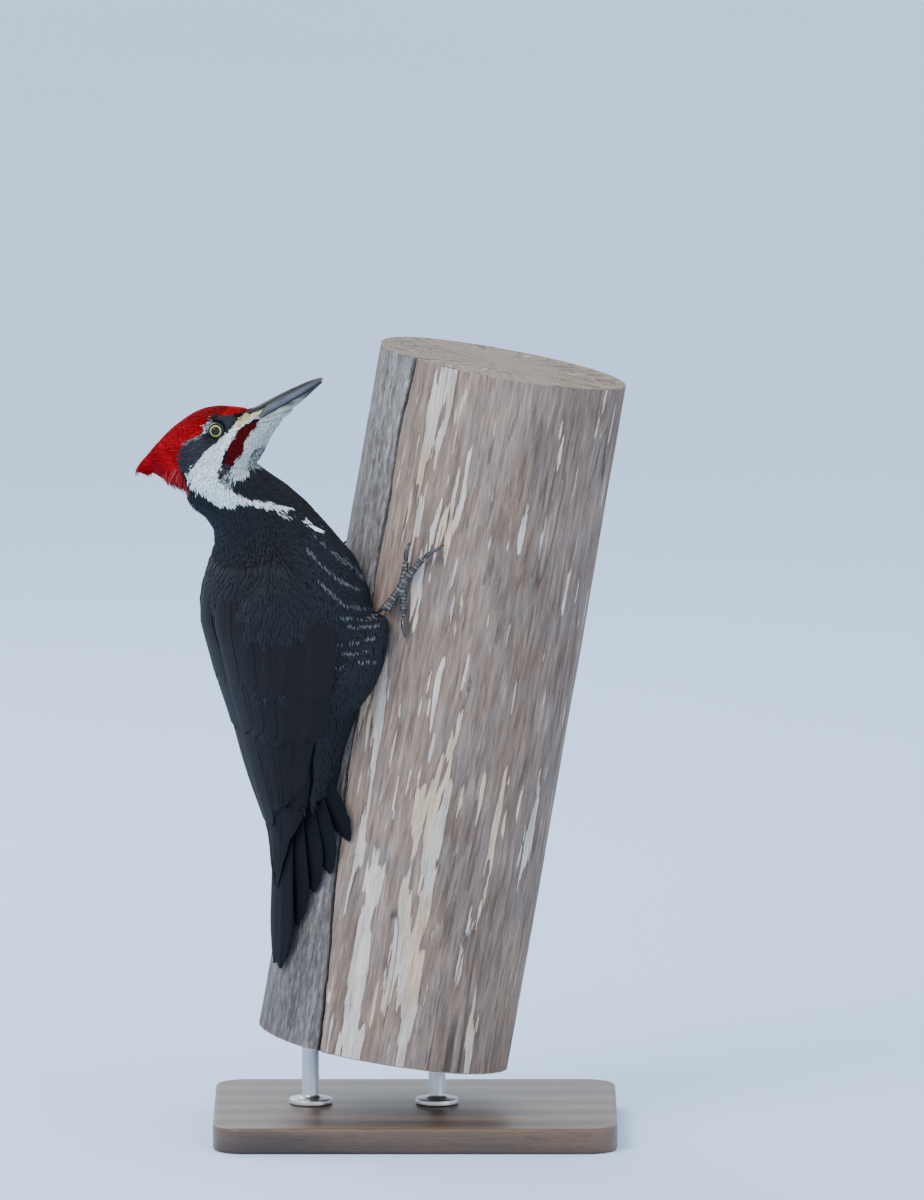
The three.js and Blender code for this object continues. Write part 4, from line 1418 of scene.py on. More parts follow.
class Feathers:
    """The whole coat of small feathers."""

    def __init__(self, plumage: Plumage, finishes: Finishes) -> None:
        """Keeps the form and sorts its faces by the part that they belong to."""
        self.plumage = plumage
        self.finishes = finishes
        self.coat = Coat(plumage)
        middles = plumage.places[plumage.faces].mean(axis=1)
        self.parts = plumage.part(middles)
        self.ups = TRUNK.coords(middles)[0]
        self.at_head = HEAD.coords(middles)
        self.angles = BODY.coords(middles)[1]
        self.middles = middles

    def _is(self, *names: str) -> Array:
        """Returns which faces belong to the parts named."""
        wanted = [k for k, part in enumerate(self.plumage.PARTS) if part.split("_")[0] in names]
        return np.isin(self.parts, wanted)

    def _tufts(self, patch: Patch, roots: Array, size: Array | float = 1.0) -> Tufts:
        """Sets out a patch's tufts on their roots, with each one's own small differences."""
        rng = np.random.default_rng(patch.seed)
        count = len(roots)
        way = self.plumage.lie(roots)
        way = unit(way + rng.normal(0, patch.sway, (count, 3)))
        length = patch.length * rng.uniform(0.8, 1.2, count) * size
        if patch.name == "coat_crest":
            length = np.minimum(length, np.maximum(3.2, HEAD.coords(roots)[:, 0] + 65))
        ahead = roots + way * (length * 0.84 * MM)[:, None]
        colour = MARKINGS.colours(ahead, patch.rough, rng)
        bright = rng.uniform(0.84, 1.16, (count, 1)) * (1 + 0.1 * ripple(roots / MM, 22, patch.seed)[:, None])
        if patch.name == "coat_crown":
            bright = bright * blend(0.5, 1.0, smooth(-HEAD.coords(roots)[:, :1], -14, 26))
        pale_hair = (colour[:, :1] > 0.03) & (colour[:, :1] < 0.034) & (rng.uniform(size=(count, 1)) < 0.012)
        bright = np.where(pale_hair, 4.0, bright) * (1.7 if patch.name == "coat_flank" else 1.0)
        return Tufts(
            root=roots,
            way=way,
            length=length,
            width=patch.width * rng.uniform(0.75, 1.2, count) * np.sqrt(size),
            thick=patch.thick * rng.uniform(0.8, 1.2, count),
            sink=np.full(count, patch.sink + 0.3),
            lift=patch.lift * rng.uniform(0.2, 1.2, count),
            colour=colour * bright,
        )

    def _clear_of_eyes(self, roots: Array, radius: float = 5.1) -> Array:
        """Returns the roots that don't lie on an eye."""
        at = HEAD.coords(roots)
        on_eye = (np.hypot(at[:, 0], at[:, 2]) < radius) & (np.abs(at[:, 1]) > 8)
        return roots[~on_eye]

    def build(self) -> None:
        """Makes every patch."""
        x, _, z = self.at_head.T
        head, crest = self._is("head"), self._is("crest")
        crown = head & (x < 18) & (z > 6)
        face = head & (x > -14) & ~crown
        x, y = MARKINGS.profile(self.middles)
        flank = (self._is("torso", "thigh")) & (x > 52) & (x < 114) & (y > -168) & (y < -57)
        mantle = self._is("torso", "wing") & (self.ups > 232) & (np.abs(self.angles) < 0.2 + 0.75 * smooth(self.ups, 235, 330))
        thin = np.random.default_rng(6).uniform(size=len(x))
        shoulder = self._is("wing") & (smooth(self.ups, 236, 290) > thin) & ~mantle
        plans: Iterable[tuple[Patch, Array]] = (
            (Patch("coat_face", 0.84, 5.0, 0.85, 0.9, 0.25, 11, 0.2, 0.5, 0.09), face),
            (Patch("coat_cheek", 1.0, 7.5, 1.0, 1.1, 0.35, 12, 0.22, 0.8, 0.1), head & ~face & ~crown),
            (Patch("coat_crown", 0.88, 8.5, 0.85, 1.0, 0.3, 13, 0.2, 0.5, 0.06, "crest"), crown),
            (Patch("coat_crest", 0.84, 13.0, 0.95, 1.6, 0.5, 14, 0.25, 0.8, 0.08, "crest"), crest),
            (Patch("coat_neck", 1.3, 8.2, 1.45, 2.0, 0.35, 15, 0.28, 0.5, 0.08), self._is("neck")),
            (Patch("coat_body", 1.9, 13.0, 2.0, 2.8, 0.4, 16, 0.32, 0.8, 0.08), self._is("torso") & ~flank & ~mantle),
            (Patch("coat_flank", 1.5, 8.5, 1.6, 1.9, 0.4, 20, 0.28, 0.5, 0.07), flank),
            (Patch("coat_thigh", 1.6, 8.5, 1.6, 1.6, 0.5, 17, 0.3, 0.8, 0.1), self._is("thigh") & ~flank),
            (Patch("coat_mantle", 1.8, 15.0, 2.7, 2.4, 0.15, 19, 0.26, 0.6, 0.03), mantle),
            (Patch("coat_shoulder", 1.8, 13.0, 2.3, 0.3, 0.9, 18, 0.24, 0.6, 0.035), shoulder),
        )
        small = ("coat_face", "coat_cheek", "coat_crown")
        for patch, mask in plans:
            roots = self.plumage.scatter(patch.spacing, patch.seed, lambda _, m=mask: m)
            if patch.name in small:
                roots = self._clear_of_eyes(roots)
            at = HEAD.coords(roots)
            near_eye = np.linalg.norm(at - np.array([0, 18, 0]) * np.sign(at[:, 1:2]), axis=1)
            size = 0.45 + 0.55 * smooth(near_eye, 6, 14) if patch.name in small else 1.0
            tufts = self._tufts(patch, roots, size)
            if patch.name == "coat_flank":
                ahead = roots + tufts.way * (tufts.length * 0.93 * MM)[:, None]
                tufts.tip = MARKINGS.barred(ahead, np.random.default_rng(3))
            if patch.name == "coat_mantle":
                on_wing = self.plumage.part(roots) > 3
                tufts.lift = tufts.lift + 0.8 * (1 - smooth(TRUNK.coords(roots)[0], 295, 345))
                tufts.sink = np.where(on_wing, 0.6, tufts.sink)
            if patch.name == "coat_neck":
                nape = smooth(-at[:, 0], 26, 40) * smooth(-at[:, 2], 16, 28) * (1 - smooth(-at[:, 2], 32, 46))
                tufts.lift = tufts.lift + 4.2 * nape
            LOG.info("%s: %d tufts", patch.name, len(roots))
            finish = self.finishes.crest if patch.name in (*small, "coat_crest") else self.finishes.plumage
            self.coat.build(patch.name, tufts, finish, patch.slot, 0.35)
        self._wisps()

    def _wisps(self) -> None:
        """Makes the loose red tufts that hang from the crest's back and end its tip."""
        x, _, z = self.at_head.T
        nape = self._is("head", "crest", "neck") & (x > -47) & (x < -36) & (z > -26) & (z < -7)
        tip = self._is("crest") & (x < -54.5)
        for name, faces, spacing, way, lift in (("nape", nape, 2.2, (-0.45, -0.9), 4.5), ("tip", tip, 1.7, (-1.0, 0.06), 0.8)):
            roots = self.plumage.scatter(spacing, 23, lambda _, m=faces: m)
            rng = np.random.default_rng(23)
            count = len(roots)
            ways = unit(way[0] * HEAD.axes[0] + way[1] * HEAD.axes[2] + rng.normal(0, 0.14, (count, 3)))
            colour = np.array(Mark.RED.value) * rng.uniform(0.7, 1.3, (count, 1)) + rng.uniform(0, 0.05, (count, 1)) * (name == "nape")
            length = rng.uniform(7, 12, count) if name == "nape" else rng.uniform(4.5, 8, count)
            flat = np.zeros(count)
            tufts = Tufts(
                roots, ways, length, rng.uniform(0.7, 1.1, count), flat + 0.2, flat + 0.8, rng.uniform(0.22, 1, count) * lift, colour
            )
            self.coat.build(f"coat_wisps_{name}", tufts, self.finishes.crest, "crest", 0.35)


# ------------------------------------------------------------------------------------ wings and tail
class Tip(Enum):
    """How a flight feather ends: where its taper starts, and the taper's power."""

    ROUND = (0.86, 2.2)
    BLUNT = (0.9, 3.0)
    POINTED = (0.5, 1.35)


@dataclass(frozen=True)
class FeatherRow:
    """A row of wing feathers, from its first, nearest the back, to its last. Angles are from the back."""

    name: str
    count: int
    root_up: tuple[float, float]
    root_angle: tuple[float, float]
    tip_up: tuple[float, float]
    tip_angle: tuple[float, float]
    width: tuple[float, float]
    rise: tuple[float, float]
    tip: Tip = Tip.ROUND
    bow: float = 0.0


@dataclass(frozen=True)
class Vane:
    """Makes feathers with a closed vane: a thin curved sheet with a shaft along its middle."""

    along: int = 16
    across: int = 9
    thickness: float = 0.35

    def grid(self) -> tuple[Array, Array]:
        """Returns shares along, closer towards the tip, and places across from -1 to 1."""
        s = np.linspace(0, 1, self.along)
        return 1 - (1 - s) ** 1.6, np.array([-1, -0.8, -0.5, -0.14, 0, 0.14, 0.5, 0.8, 1.0])

    def outline(self, tip: Tip) -> Array:
        """Returns the half-width along the vane, as a share of its widest."""
        t, _ = self.grid()
        start, power = tip.value
        past = np.clip((t - start) / (1 - start), 0, 1)
        return np.interp(t, [0, 0.25], [0.55, 1]) * np.maximum((1 - past**power), 0) ** (1 / power) + 0.015

    def faces(self, count: int) -> Array:
        """Returns the faces of so many vanes, each with its top rows before its bottom rows."""
        rows, columns = self.along, self.across
        top = np.arange(rows * columns).reshape(rows, columns)
        under = top + rows * columns
        quads = []
        for r in range(rows - 1):
            for c in range(columns - 1):
                quads.append([top[r, c], top[r, c + 1], top[r + 1, c + 1], top[r + 1, c]])
                quads.append([under[r, c], under[r + 1, c], under[r + 1, c + 1], under[r, c + 1]])
            quads.append([top[r, 0], top[r + 1, 0], under[r + 1, 0], under[r, 0]])
            quads.append([top[r, -1], under[r, -1], under[r + 1, -1], top[r + 1, -1]])
        for c in range(columns - 1):
            quads.append([top[0, c], under[0, c], under[0, c + 1], top[0, c + 1]])
            quads.append([top[-1, c], top[-1, c + 1], under[-1, c + 1], under[-1, c]])
        return (np.arange(count)[:, None, None] * (2 * rows * columns) + np.array(quads)).reshape(-1, 4)

    def build(
        self, name: str, tops: Array, unders: Array, spots: Array, sizes: Array, colours: Array, finish: bpy.types.Material
    ) -> bpy.types.Object:
        """Joins vanes into one piece.

        Args:
            name: The piece's name.
            tops: Upper places by feather, row and column.
            unders: Lower places in the same order.
            spots: Each feather's place on the unwrapped wing or tail.
            sizes: Each feather's width and length in millimetres.
            colours: Each feather's colour.
            finish: The material.

        Returns:
            The piece.
        """
        count = len(tops)
        t, across = self.grid()
        places = np.concatenate([tops.reshape(count, -1, 3), unders.reshape(count, -1, 3)], axis=1)
        side, along = np.tile(across, self.along), np.repeat(t, self.across)
        side, along = np.tile(side, 2), np.tile(along, 2)
        rng = np.random.default_rng(count)
        shift = rng.uniform(0, 40, (count, 1))
        vane = np.stack([side * sizes[:, :1] / 2, shift + along * sizes[:, 1:]], axis=-1)
        patch = np.stack([spots[:, :1] + side * 0.0015, spots[:, 1:] + along * 0.003], axis=-1)
        shaft = np.exp(-((side / 0.1) ** 2))
        edge = smooth(np.abs(side), 0.7, 1.0)
        shade = (0.85 + 0.15 * along + 0.15 * shaft + 0.1 * edge)[None, :, None]
        tint = np.broadcast_to(colours[:, None, :] * shade, (count, len(side), 3))
        maps = {"OFBake": np.clip(patch, 0.001, 0.999).reshape(-1, 2), "Vane": vane.reshape(-1, 2)}
        piece = piece_from_arrays(name, places.reshape(-1, 3), [self.faces(count)], tint.reshape(-1, 3), maps)
        pick(piece)
        bpy.ops.object.mode_set(mode="EDIT")
        bpy.ops.mesh.select_all(action="SELECT")
        bpy.ops.mesh.normals_make_consistent(inside=False)
        bpy.ops.object.mode_set(mode="OBJECT")
        hand_over(piece, finish, "plumage")
        return piece


@dataclass
class Wing:
    """One folded wing, as rows of feathers over the skin."""

    side: int
    vane: Vane = field(default_factory=Vane)
    rows: Sequence[FeatherRow] = (
        FeatherRow("primaries", 9, (240, 206), (22, 84), (113, 150), (8, 66), (15, 14), (-1.2, -1.5), Tip.POINTED),
        FeatherRow("secondaries", 11, (290, 262), (5, 97), (148, 182), (3, 70), (19, 14), (-0.4, -0.9), Tip.ROUND),
        FeatherRow("greater_coverts", 14, (306, 288), (8, 100), (222, 218), (5, 97), (15, 12), (-0.1, -0.4)),
        FeatherRow("median_coverts", 15, (322, 300), (12, 101), (256, 246), (8, 99), (13, 11), (0.1, -0.1)),
    )

    def build(self, finishes: Finishes) -> None:
        """Makes each row as one piece."""
        for row in self.rows:
            self._row(row, finishes)

    def _row(self, row: FeatherRow, finishes: Finishes) -> None:
        """Lays one row out on the wing's form."""
        side_name = "right" if self.side > 0 else "left"
        rng = np.random.default_rng(row.count + (self.side > 0))
        s = np.linspace(0, 1, row.count)[:, None]
        wobble = rng.normal(0, 1, (row.count, 4))
        t, across = self.vane.grid()

        def run(ends: tuple[float, float], sway: float, k: int) -> Array:
            """Returns values along the row, each a little off."""
            return blend(ends[0], ends[1], s) + wobble[:, k : k + 1] * sway

        up = blend(run(row.root_up, 0, 0), run(row.tip_up, 1.6, 1), t)
        if row.name == "primaries":
            tip = 103 + 62 * np.clip(np.abs(s - 0.3) - 0.0, 0, 1) ** 1.15 + wobble[:, 1:2] * 1.0
            up = blend(run(row.root_up, 0, 0), tip, t)
        angle = blend(run(row.root_angle, 0, 2), run(row.tip_angle, 0.7, 3), t**1.15)
        width = run(row.width, 0.4, 0)
        share = FOLD.along(up)
        middle = FOLD.axes(share)[0]
        centre = FOLD.place(share, np.radians(angle))
        radius = np.linalg.norm(centre - middle, axis=-1) / MM
        run_up = np.gradient(up, axis=1)
        run_round = np.gradient(np.radians(angle), axis=1) * radius
        length = np.hypot(run_up, run_round)
        half = (width / 2) * self.vane.outline(row.tip)
        offset = half[..., None] * across
        up3 = up[..., None] + offset * (run_round / length)[..., None]
        turn3 = np.radians(angle)[..., None] - offset * (run_up / length)[..., None] / radius[..., None]
        blunt = 1 - np.abs(across) ** 2.4
        rise = run(row.rise, 0.05, 0)[..., None] + 0.3 * blunt + 0.12 * np.exp(-((across / 0.1) ** 2))
        rise = rise + 0.36 * across + 0.25 * t[:, None] ** 2 - 3.8 * (1 - t[:, None]) ** 3
        rise = rise + 0.45 * self.side * (1 - smooth(np.abs(np.degrees(turn3)), 4, 26))
        turn3 = turn3 * self.side
        share3 = FOLD.along(up3)
        tops = TRUNK.keep_off(FOLD.place(share3, turn3, rise), 0.9)
        unders = TRUNK.keep_off(FOLD.place(share3, turn3, rise - self.vane.thickness - 0.25 * blunt), 0.4)
        spots = np.stack([0.5 + turn3[:, 0, 4] / (2 * math.pi), share3[:, 0, 4] * 0.9], axis=1)
        sizes = np.stack([width[:, 0], np.linalg.norm(centre[:, -1] - centre[:, 0], axis=-1) / MM], axis=1)
        colours = np.array(Mark.BLACK.value) * rng.uniform(0.85, 1.05, (row.count, 1)) * np.array([1.3, 1.0, 0.88])
        self.vane.build(f"{row.name}_{side_name}", tops, unders, spots, sizes, colours, finishes.quill)


@dataclass
class Tail:
    """The fan of stiff, pointed tail feathers propped on the trunk."""

    pairs: int = 5
    tips: Sequence[float] = (49, 80, 106, 124, 147)
    root_up: float = 202.0
    root_off: float = 24.0
    root_turn: float = 27.0
    pace: float = 2.4
    middle: float = 25.5
    spread: float = 37.0
    vane: Vane = field(default_factory=lambda: Vane(along=22, thickness=0.5))

    def build(self, finishes: Finishes) -> None:
        """Makes the fan as one piece."""
        t, across = self.vane.grid()
        tops, unders, spots, sizes, colours = [], [], [], [], []
        rng = np.random.default_rng(8)
        for sign in (1, -1):
            for k in range(self.pairs):
                start = 1 - np.where(across > 0, 32.0, 12.0) / (self.root_up - self.tips[k])
                past = np.clip((t[:, None] - start) / (1 - start), 0, 1)
                fray = 1 + 0.08 * past * rng.normal(0, 1, (len(t), 1))
                half = 1.4 * ((1 - past**1.3) ** 0.8 * 0.97 * fray + 0.03) * across
                place = k + 0.5 + half
                along = np.broadcast_to(t[:, None], place.shape)
                tip = self.tips[k] + rng.normal(0, 0.8)
                up = blend(self.root_up, tip, along)
                fan = blend(place * self.pace, place / self.pairs * self.spread, along**0.9)
                turn = blend(self.root_turn, self.middle, along) + sign * fan
                domed = 3.4 * (1 - (place / self.pairs) ** 2) * smooth(1 - along, 0, 0.6)
                off = blend(self.root_off, 1.0, along**0.8) + domed
                shaft = 0.35 * (1 - np.abs(across) ** 2) + 0.22 * np.exp(-((across / 0.1) ** 2))
                rise = 0.2 + (self.pairs - k) * 0.3 + shaft - 0.2 * np.abs(across)
                tops.append(TRUNK.at(up, turn, np.maximum(off + rise, 1.0)))
                unders.append(TRUNK.at(up, turn, np.maximum(off + rise - self.vane.thickness, 0.4)))
                spots.append([0.5 + sign * (k + 0.5) * 0.08, 0.2])
                sizes.append([13, self.root_up - tip])
                colours.append(np.array(Mark.BLACK.value) * rng.uniform(0.75, 0.95))
        self.vane.build(
            "tail_feathers", np.array(tops), np.array(unders), np.array(spots), np.array(sizes), np.array(colours), finishes.rectrix
        )
        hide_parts("tail")


# ------------------------------------------------------------------------------------ bill and eyes
@dataclass
class Bill:
    """The chisel bill, as an upper and a lower half."""

    root: float = 16.0
    tip: float = 80.6
    gape: float = -8.3
    tip_z: float = -7.2
    gap: float = 0.35
    upper: Sequence[tuple[float, float]] = (
        (7.8, 9), (7.5, 8.4), (7.3, 7), (7.0, 5.8), (6.3, 4.6), (4.8, 3.6), (2.1, 2.5),
    )
    lower: Sequence[tuple[float, float]] = (
        (7.4, 7.8), (7.2, 7.2), (6.8, 6), (6.0, 4.9), (4.3, 3.9), (2.4, 2.9), (0.8, 1.9),
    )

    def place(self, x: Array, turn: Array, rise: Array | float = 0.0, upper: Array | bool = True) -> Array:
        """Returns places on the horn.

        Args:
            x: Millimetres forward of the eyes.
            turn: Angles from the middle of the half's own outer side to the right.
            rise: Millimetres above the horn.
            upper: Which half.

        Returns:
            The places.
        """
        t = np.clip((x - self.root) / (self.tip - self.root), 0, 1)
        rows = np.where(np.asarray(upper)[..., None], Loft._curve(np.array(self.upper), t), Loft._curve(np.array(self.lower), t))
        sign = np.where(upper, 1.0, -1.0)
        deep, half = rows[..., 0], rows[..., 1]
        seam = blend(self.gape, self.tip_z, smooth(t, 0.7, 1)) + sign * self.gap / 2
        c, s = np.maximum(0, np.cos(turn)), np.sin(turn)
        fade = (1 - smooth(t, 0.8, 1)) * np.where(upper, 1.0, 0.3)
        wrapped_turn = np.arctan2(s, np.cos(turn))
        ridge = 0.3 * np.exp(-((wrapped_turn / 0.2) ** 2)) * fade
        groove = 0.4 * np.exp(-(((np.abs(wrapped_turn) - 0.78) / 0.13) ** 2)) * fade
        size = 1 - groove / np.maximum(half, 1)
        z = seam + sign * (c**0.9 * deep * size + ridge + rise * c)
        y = np.abs(s) ** 0.8 * np.sign(s) * half * size + rise * s
        return np.stack(np.broadcast_arrays(x, y, z), axis=-1)

    def _half(self, name: str, upper: bool, tip: float) -> bpy.types.Object:
        """Shapes one half of the bill."""

        def form(along: Array, around: Array) -> Array:
            """Gives places on the half's surface."""
            pole = ((along < 1e-4) | (along > 1 - 1e-4))[:, None]
            at = self.place(blend(self.root, tip, along), around, 0.0, upper)
            middle = (self.place(blend(self.root, tip, along), 0 * around, 0.0, upper)
                      + self.place(blend(self.root, tip, along), 0 * around + math.pi, 0.0, upper)) / 2
            return HEAD.at(*np.where(pole, middle, at).T)

        return wrapped(name, form, 110, 64)

    def _paint(self, piece: bpy.types.Object, upper: bool) -> None:
        """Colours a half: blackish ridge, slate sides with a painted bluish sheen along the upper half, pale greenish
        lower half and worn tip.
        """
        at = HEAD.coords(coordinates(piece))
        t = (at[:, 0] - self.root) / (self.tip - self.root)
        z = at[:, 2] - blend(self.gape, self.tip_z, smooth(t, 0.7, 1))
        height = np.abs(z) / np.maximum(blend(7.8, 3.4, np.clip(t, 0, 1) ** 3), 0.5)
        mottle = ripple(at, 9.0, 21)[:, None]
        slate, blue, black = (np.array(v) for v in ((0.03, 0.032, 0.038), (0.088, 0.096, 0.118), (0.004, 0.004, 0.005)))
        if upper:
            # Painted sheen: the lighter blue band along the side of the upper half stands for a bluish sheen on the
            # horn.
            colour = blend(slate, blue, (np.exp(-(((height - 0.38) / 0.24) ** 2)) * smooth(t, 0.1, 0.35) * (1 - 0.5 * smooth(t, 0.6, 0.9)))[:, None])
            colour = blend(colour, black, smooth(height + 0.05 * mottle[:, 0], 0.66, 0.86)[:, None])
            colour = blend(colour, np.array((0.15, 0.14, 0.10)), (0.8 * (1 - smooth(t, 0.12, 0.4)) * (1 - smooth(height, 0.15, 0.35)))[:, None])
        else:
            pale = np.array((0.31, 0.33, 0.285))
            colour = blend(pale, slate, smooth(t + 0.1 * mottle[:, 0] + 0.25 * (0.5 - height), 0.5, 0.85)[:, None])
            colour = blend(colour, black * 2, (0.7 * (1 - smooth(height, 0.0, 0.14)))[:, None])
        colour = blend(colour, np.array((0.42, 0.15, 0.08)), smooth(t, 0.975, 0.995)[:, None] * 0.8)
        paint(piece, colour * (1 + 0.2 * mottle))

    def build(self, finishes: Finishes) -> None:
        """Makes both halves."""
        for name, upper, tip in (("upper", True, self.tip), ("lower", False, self.tip - 1.8)):
            piece = self._half(f"horn_{name}", upper, tip)
            self._paint(piece, upper)
            hand_over(piece, finishes.bill, "bill", f"bill_{name}")

    def bristles(self, coat: Coat, finishes: Finishes) -> None:
        """Makes the tufts that reach forward over the horn: red above, cream at the sides, pale under."""
        rng = np.random.default_rng(41)
        count = 2600
        turn = rng.uniform(-math.pi, math.pi, count)
        size = np.abs(turn)
        reach = np.interp(size, [0, 0.3, 0.5, 0.85, 1.2, 1.5, 1.75, 2.2, 2.7, 3.14], [27, 26, 28.5, 37, 34, 29, 33, 44, 50, 51.5])
        end = reach + rng.normal(0, 1.1, count) - rng.uniform(0, 1, count) ** 2 * 9
        length = rng.uniform(7, 12, count)
        upper = size < math.pi / 2
        own = np.where(upper, turn, np.sign(turn) * (math.pi - size))
        t = np.linspace(0, 1, coat.steps + 1)[:, None]
        x = end - length * (1 - t)
        own = own * (1 - 0.1 * t * (size < 1.6)) + rng.normal(0, 0.05, count) * t
        lift = rng.uniform(0.25, 1.0, count) * np.where(size > 1.9, 1.5, 1.0)
        middles = HEAD.at(*np.moveaxis(self.place(x, own, -0.4 + (lift + 0.4) * np.sin(t * 2.2) ** 0.8, upper), -1, 0))
        over = HEAD.at(*np.moveaxis(self.place(x, own, 3.0, upper), -1, 0))
        normals, ways = unit(over - middles), unit(np.gradient(middles, axis=0))
        marks = np.digitize(size, (0.5, 1.05, 1.35))
        table = np.array([np.array(Mark.RED.value) * 0.42, np.array(Mark.LORE.value) * 1.7, Mark.CREAM.value, Mark.THROAT.value])
        colour = table[marks] * rng.uniform(0.7, 1.2, (count, 1))
        dark = (rng.uniform(size=count) < np.where(size > 2.0, 0.22, 0.16)) & (size > 0.5)
        colour = np.where(dark[:, None], colour * 0.3, colour)
        flat = np.zeros(count)
        tufts = Tufts(middles[0], ways[0], length, rng.uniform(0.5, 0.9, count), flat + 0.18, flat, flat, colour)
        coat.build("bristles", tufts, finishes.plumage, "plumage", spine=(middles, normals, ways))


@dataclass
class Eyes:
    """The two eyes in their bare rings of lid."""

    pupil: float = 3.15
    iris: float = 3.85
    opening: float = 4.6
    bulge: float = 0.55

    def build(self, finishes: Finishes) -> None:
        """Makes both eyes and their lids."""
        for side, sign in (("right", 1), ("left", -1)):
            eye = self._ball(f"eyeball_{side}", sign)
            hand_over(eye, finishes.eye, "eye", f"eye_{side}")
            hand_over(self._lid(f"eyelid_{side}", sign), finishes.scales, "plumage")

    def _ball(self, name: str, sign: int) -> bpy.types.Object:
        """Shapes an eyeball with its cornea and paints pupil and iris."""
        radius = HEAD.eye_radius

        def form(along: Array, around: Array) -> Array:
            """Gives places on the ball, whose first pole looks out."""
            polar = along**1.35 * math.pi
            out = radius + self.bulge * np.exp(-((polar / 0.42) ** 4))
            flat = np.sin(polar) * out
            return HEAD.at(flat * np.cos(around), sign * (HEAD.eye_side + np.cos(polar) * out), flat * np.sin(around))

        piece = wrapped(name, form, 84, 72)
        at = HEAD.coords(coordinates(piece))
        near = np.hypot(at[:, 0], at[:, 2])
        near = np.where(np.abs(at[:, 1]) > HEAD.eye_side, near, 9)
        turn = np.arctan2(at[:, 2], at[:, 0])
        spokes = 0.5 + 0.5 * ripple(np.stack([np.cos(turn), np.sin(turn)], 1) * 20, 3.0, 4)
        colour = np.tile(np.array((0.52, 0.48, 0.1)), (len(at), 1)) * (0.75 + 0.45 * spokes)[:, None]
        colour = blend(colour, np.array((0.28, 0.24, 0.03)), smooth(near, 3.55, 4.0)[:, None])
        colour = blend(colour, np.array((0.40, 0.34, 0.05)), (1 - smooth(near, 2.6, 3.0))[:, None])
        colour = blend(np.array((0.002, 0.002, 0.003)), colour, smooth(near, self.pupil - 0.08, self.pupil + 0.1)[:, None])
        colour = blend(colour, np.array((0.008, 0.008, 0.01)), smooth(near, self.iris - 0.08, self.iris + 0.12)[:, None])
        paint(piece, colour)
        return piece

    def _lid(self, name: str, sign: int) -> bpy.types.Object:
        """Shapes the ring of lid round an eye."""
        deselect()
        bpy.ops.mesh.primitive_torus_add(major_radius=1.0, minor_radius=0.25, major_segments=72, minor_segments=14)
        piece = rename(bpy.context.object, name)
        ring = coordinates(piece)
        around = np.arctan2(ring[:, 1], ring[:, 0])
        out = np.hypot(ring[:, 0], ring[:, 1]) - 1.0
        reach = self.opening + 0.55 + out * 2.4
        wrinkle = 1 + 0.025 * np.sin(9 * around) + 0.015 * np.sin(23 * around)
        reach = (self.opening + (reach - self.opening) * wrinkle) * (1 + 0.025 * np.cos(2 * around))
        seat = np.sqrt(np.maximum(HEAD.eye_radius**2 - np.minimum(reach, 5.9) ** 2, 0.1))
        height = HEAD.eye_side + seat + 0.2 + ring[:, 2] * 1.9
        set_coordinates(piece, HEAD.at(reach * np.cos(around), sign * height, reach * np.sin(around)))
        clean(piece)
        soften(piece)
        at = HEAD.coords(coordinates(piece))
        behind = smooth(0.9 * at[:, 2] - 0.45 * at[:, 0], 2.4, 5.0) * smooth(np.hypot(at[:, 0], at[:, 2]), 5.0, 5.7)
        colour = blend(np.array((0.014, 0.015, 0.019)), np.array(Mark.LID.value), 0.8 * behind[:, None])
        paint(piece, colour * (1 + 0.2 * ripple(at, 2.0, 3)[:, None]))
        return piece


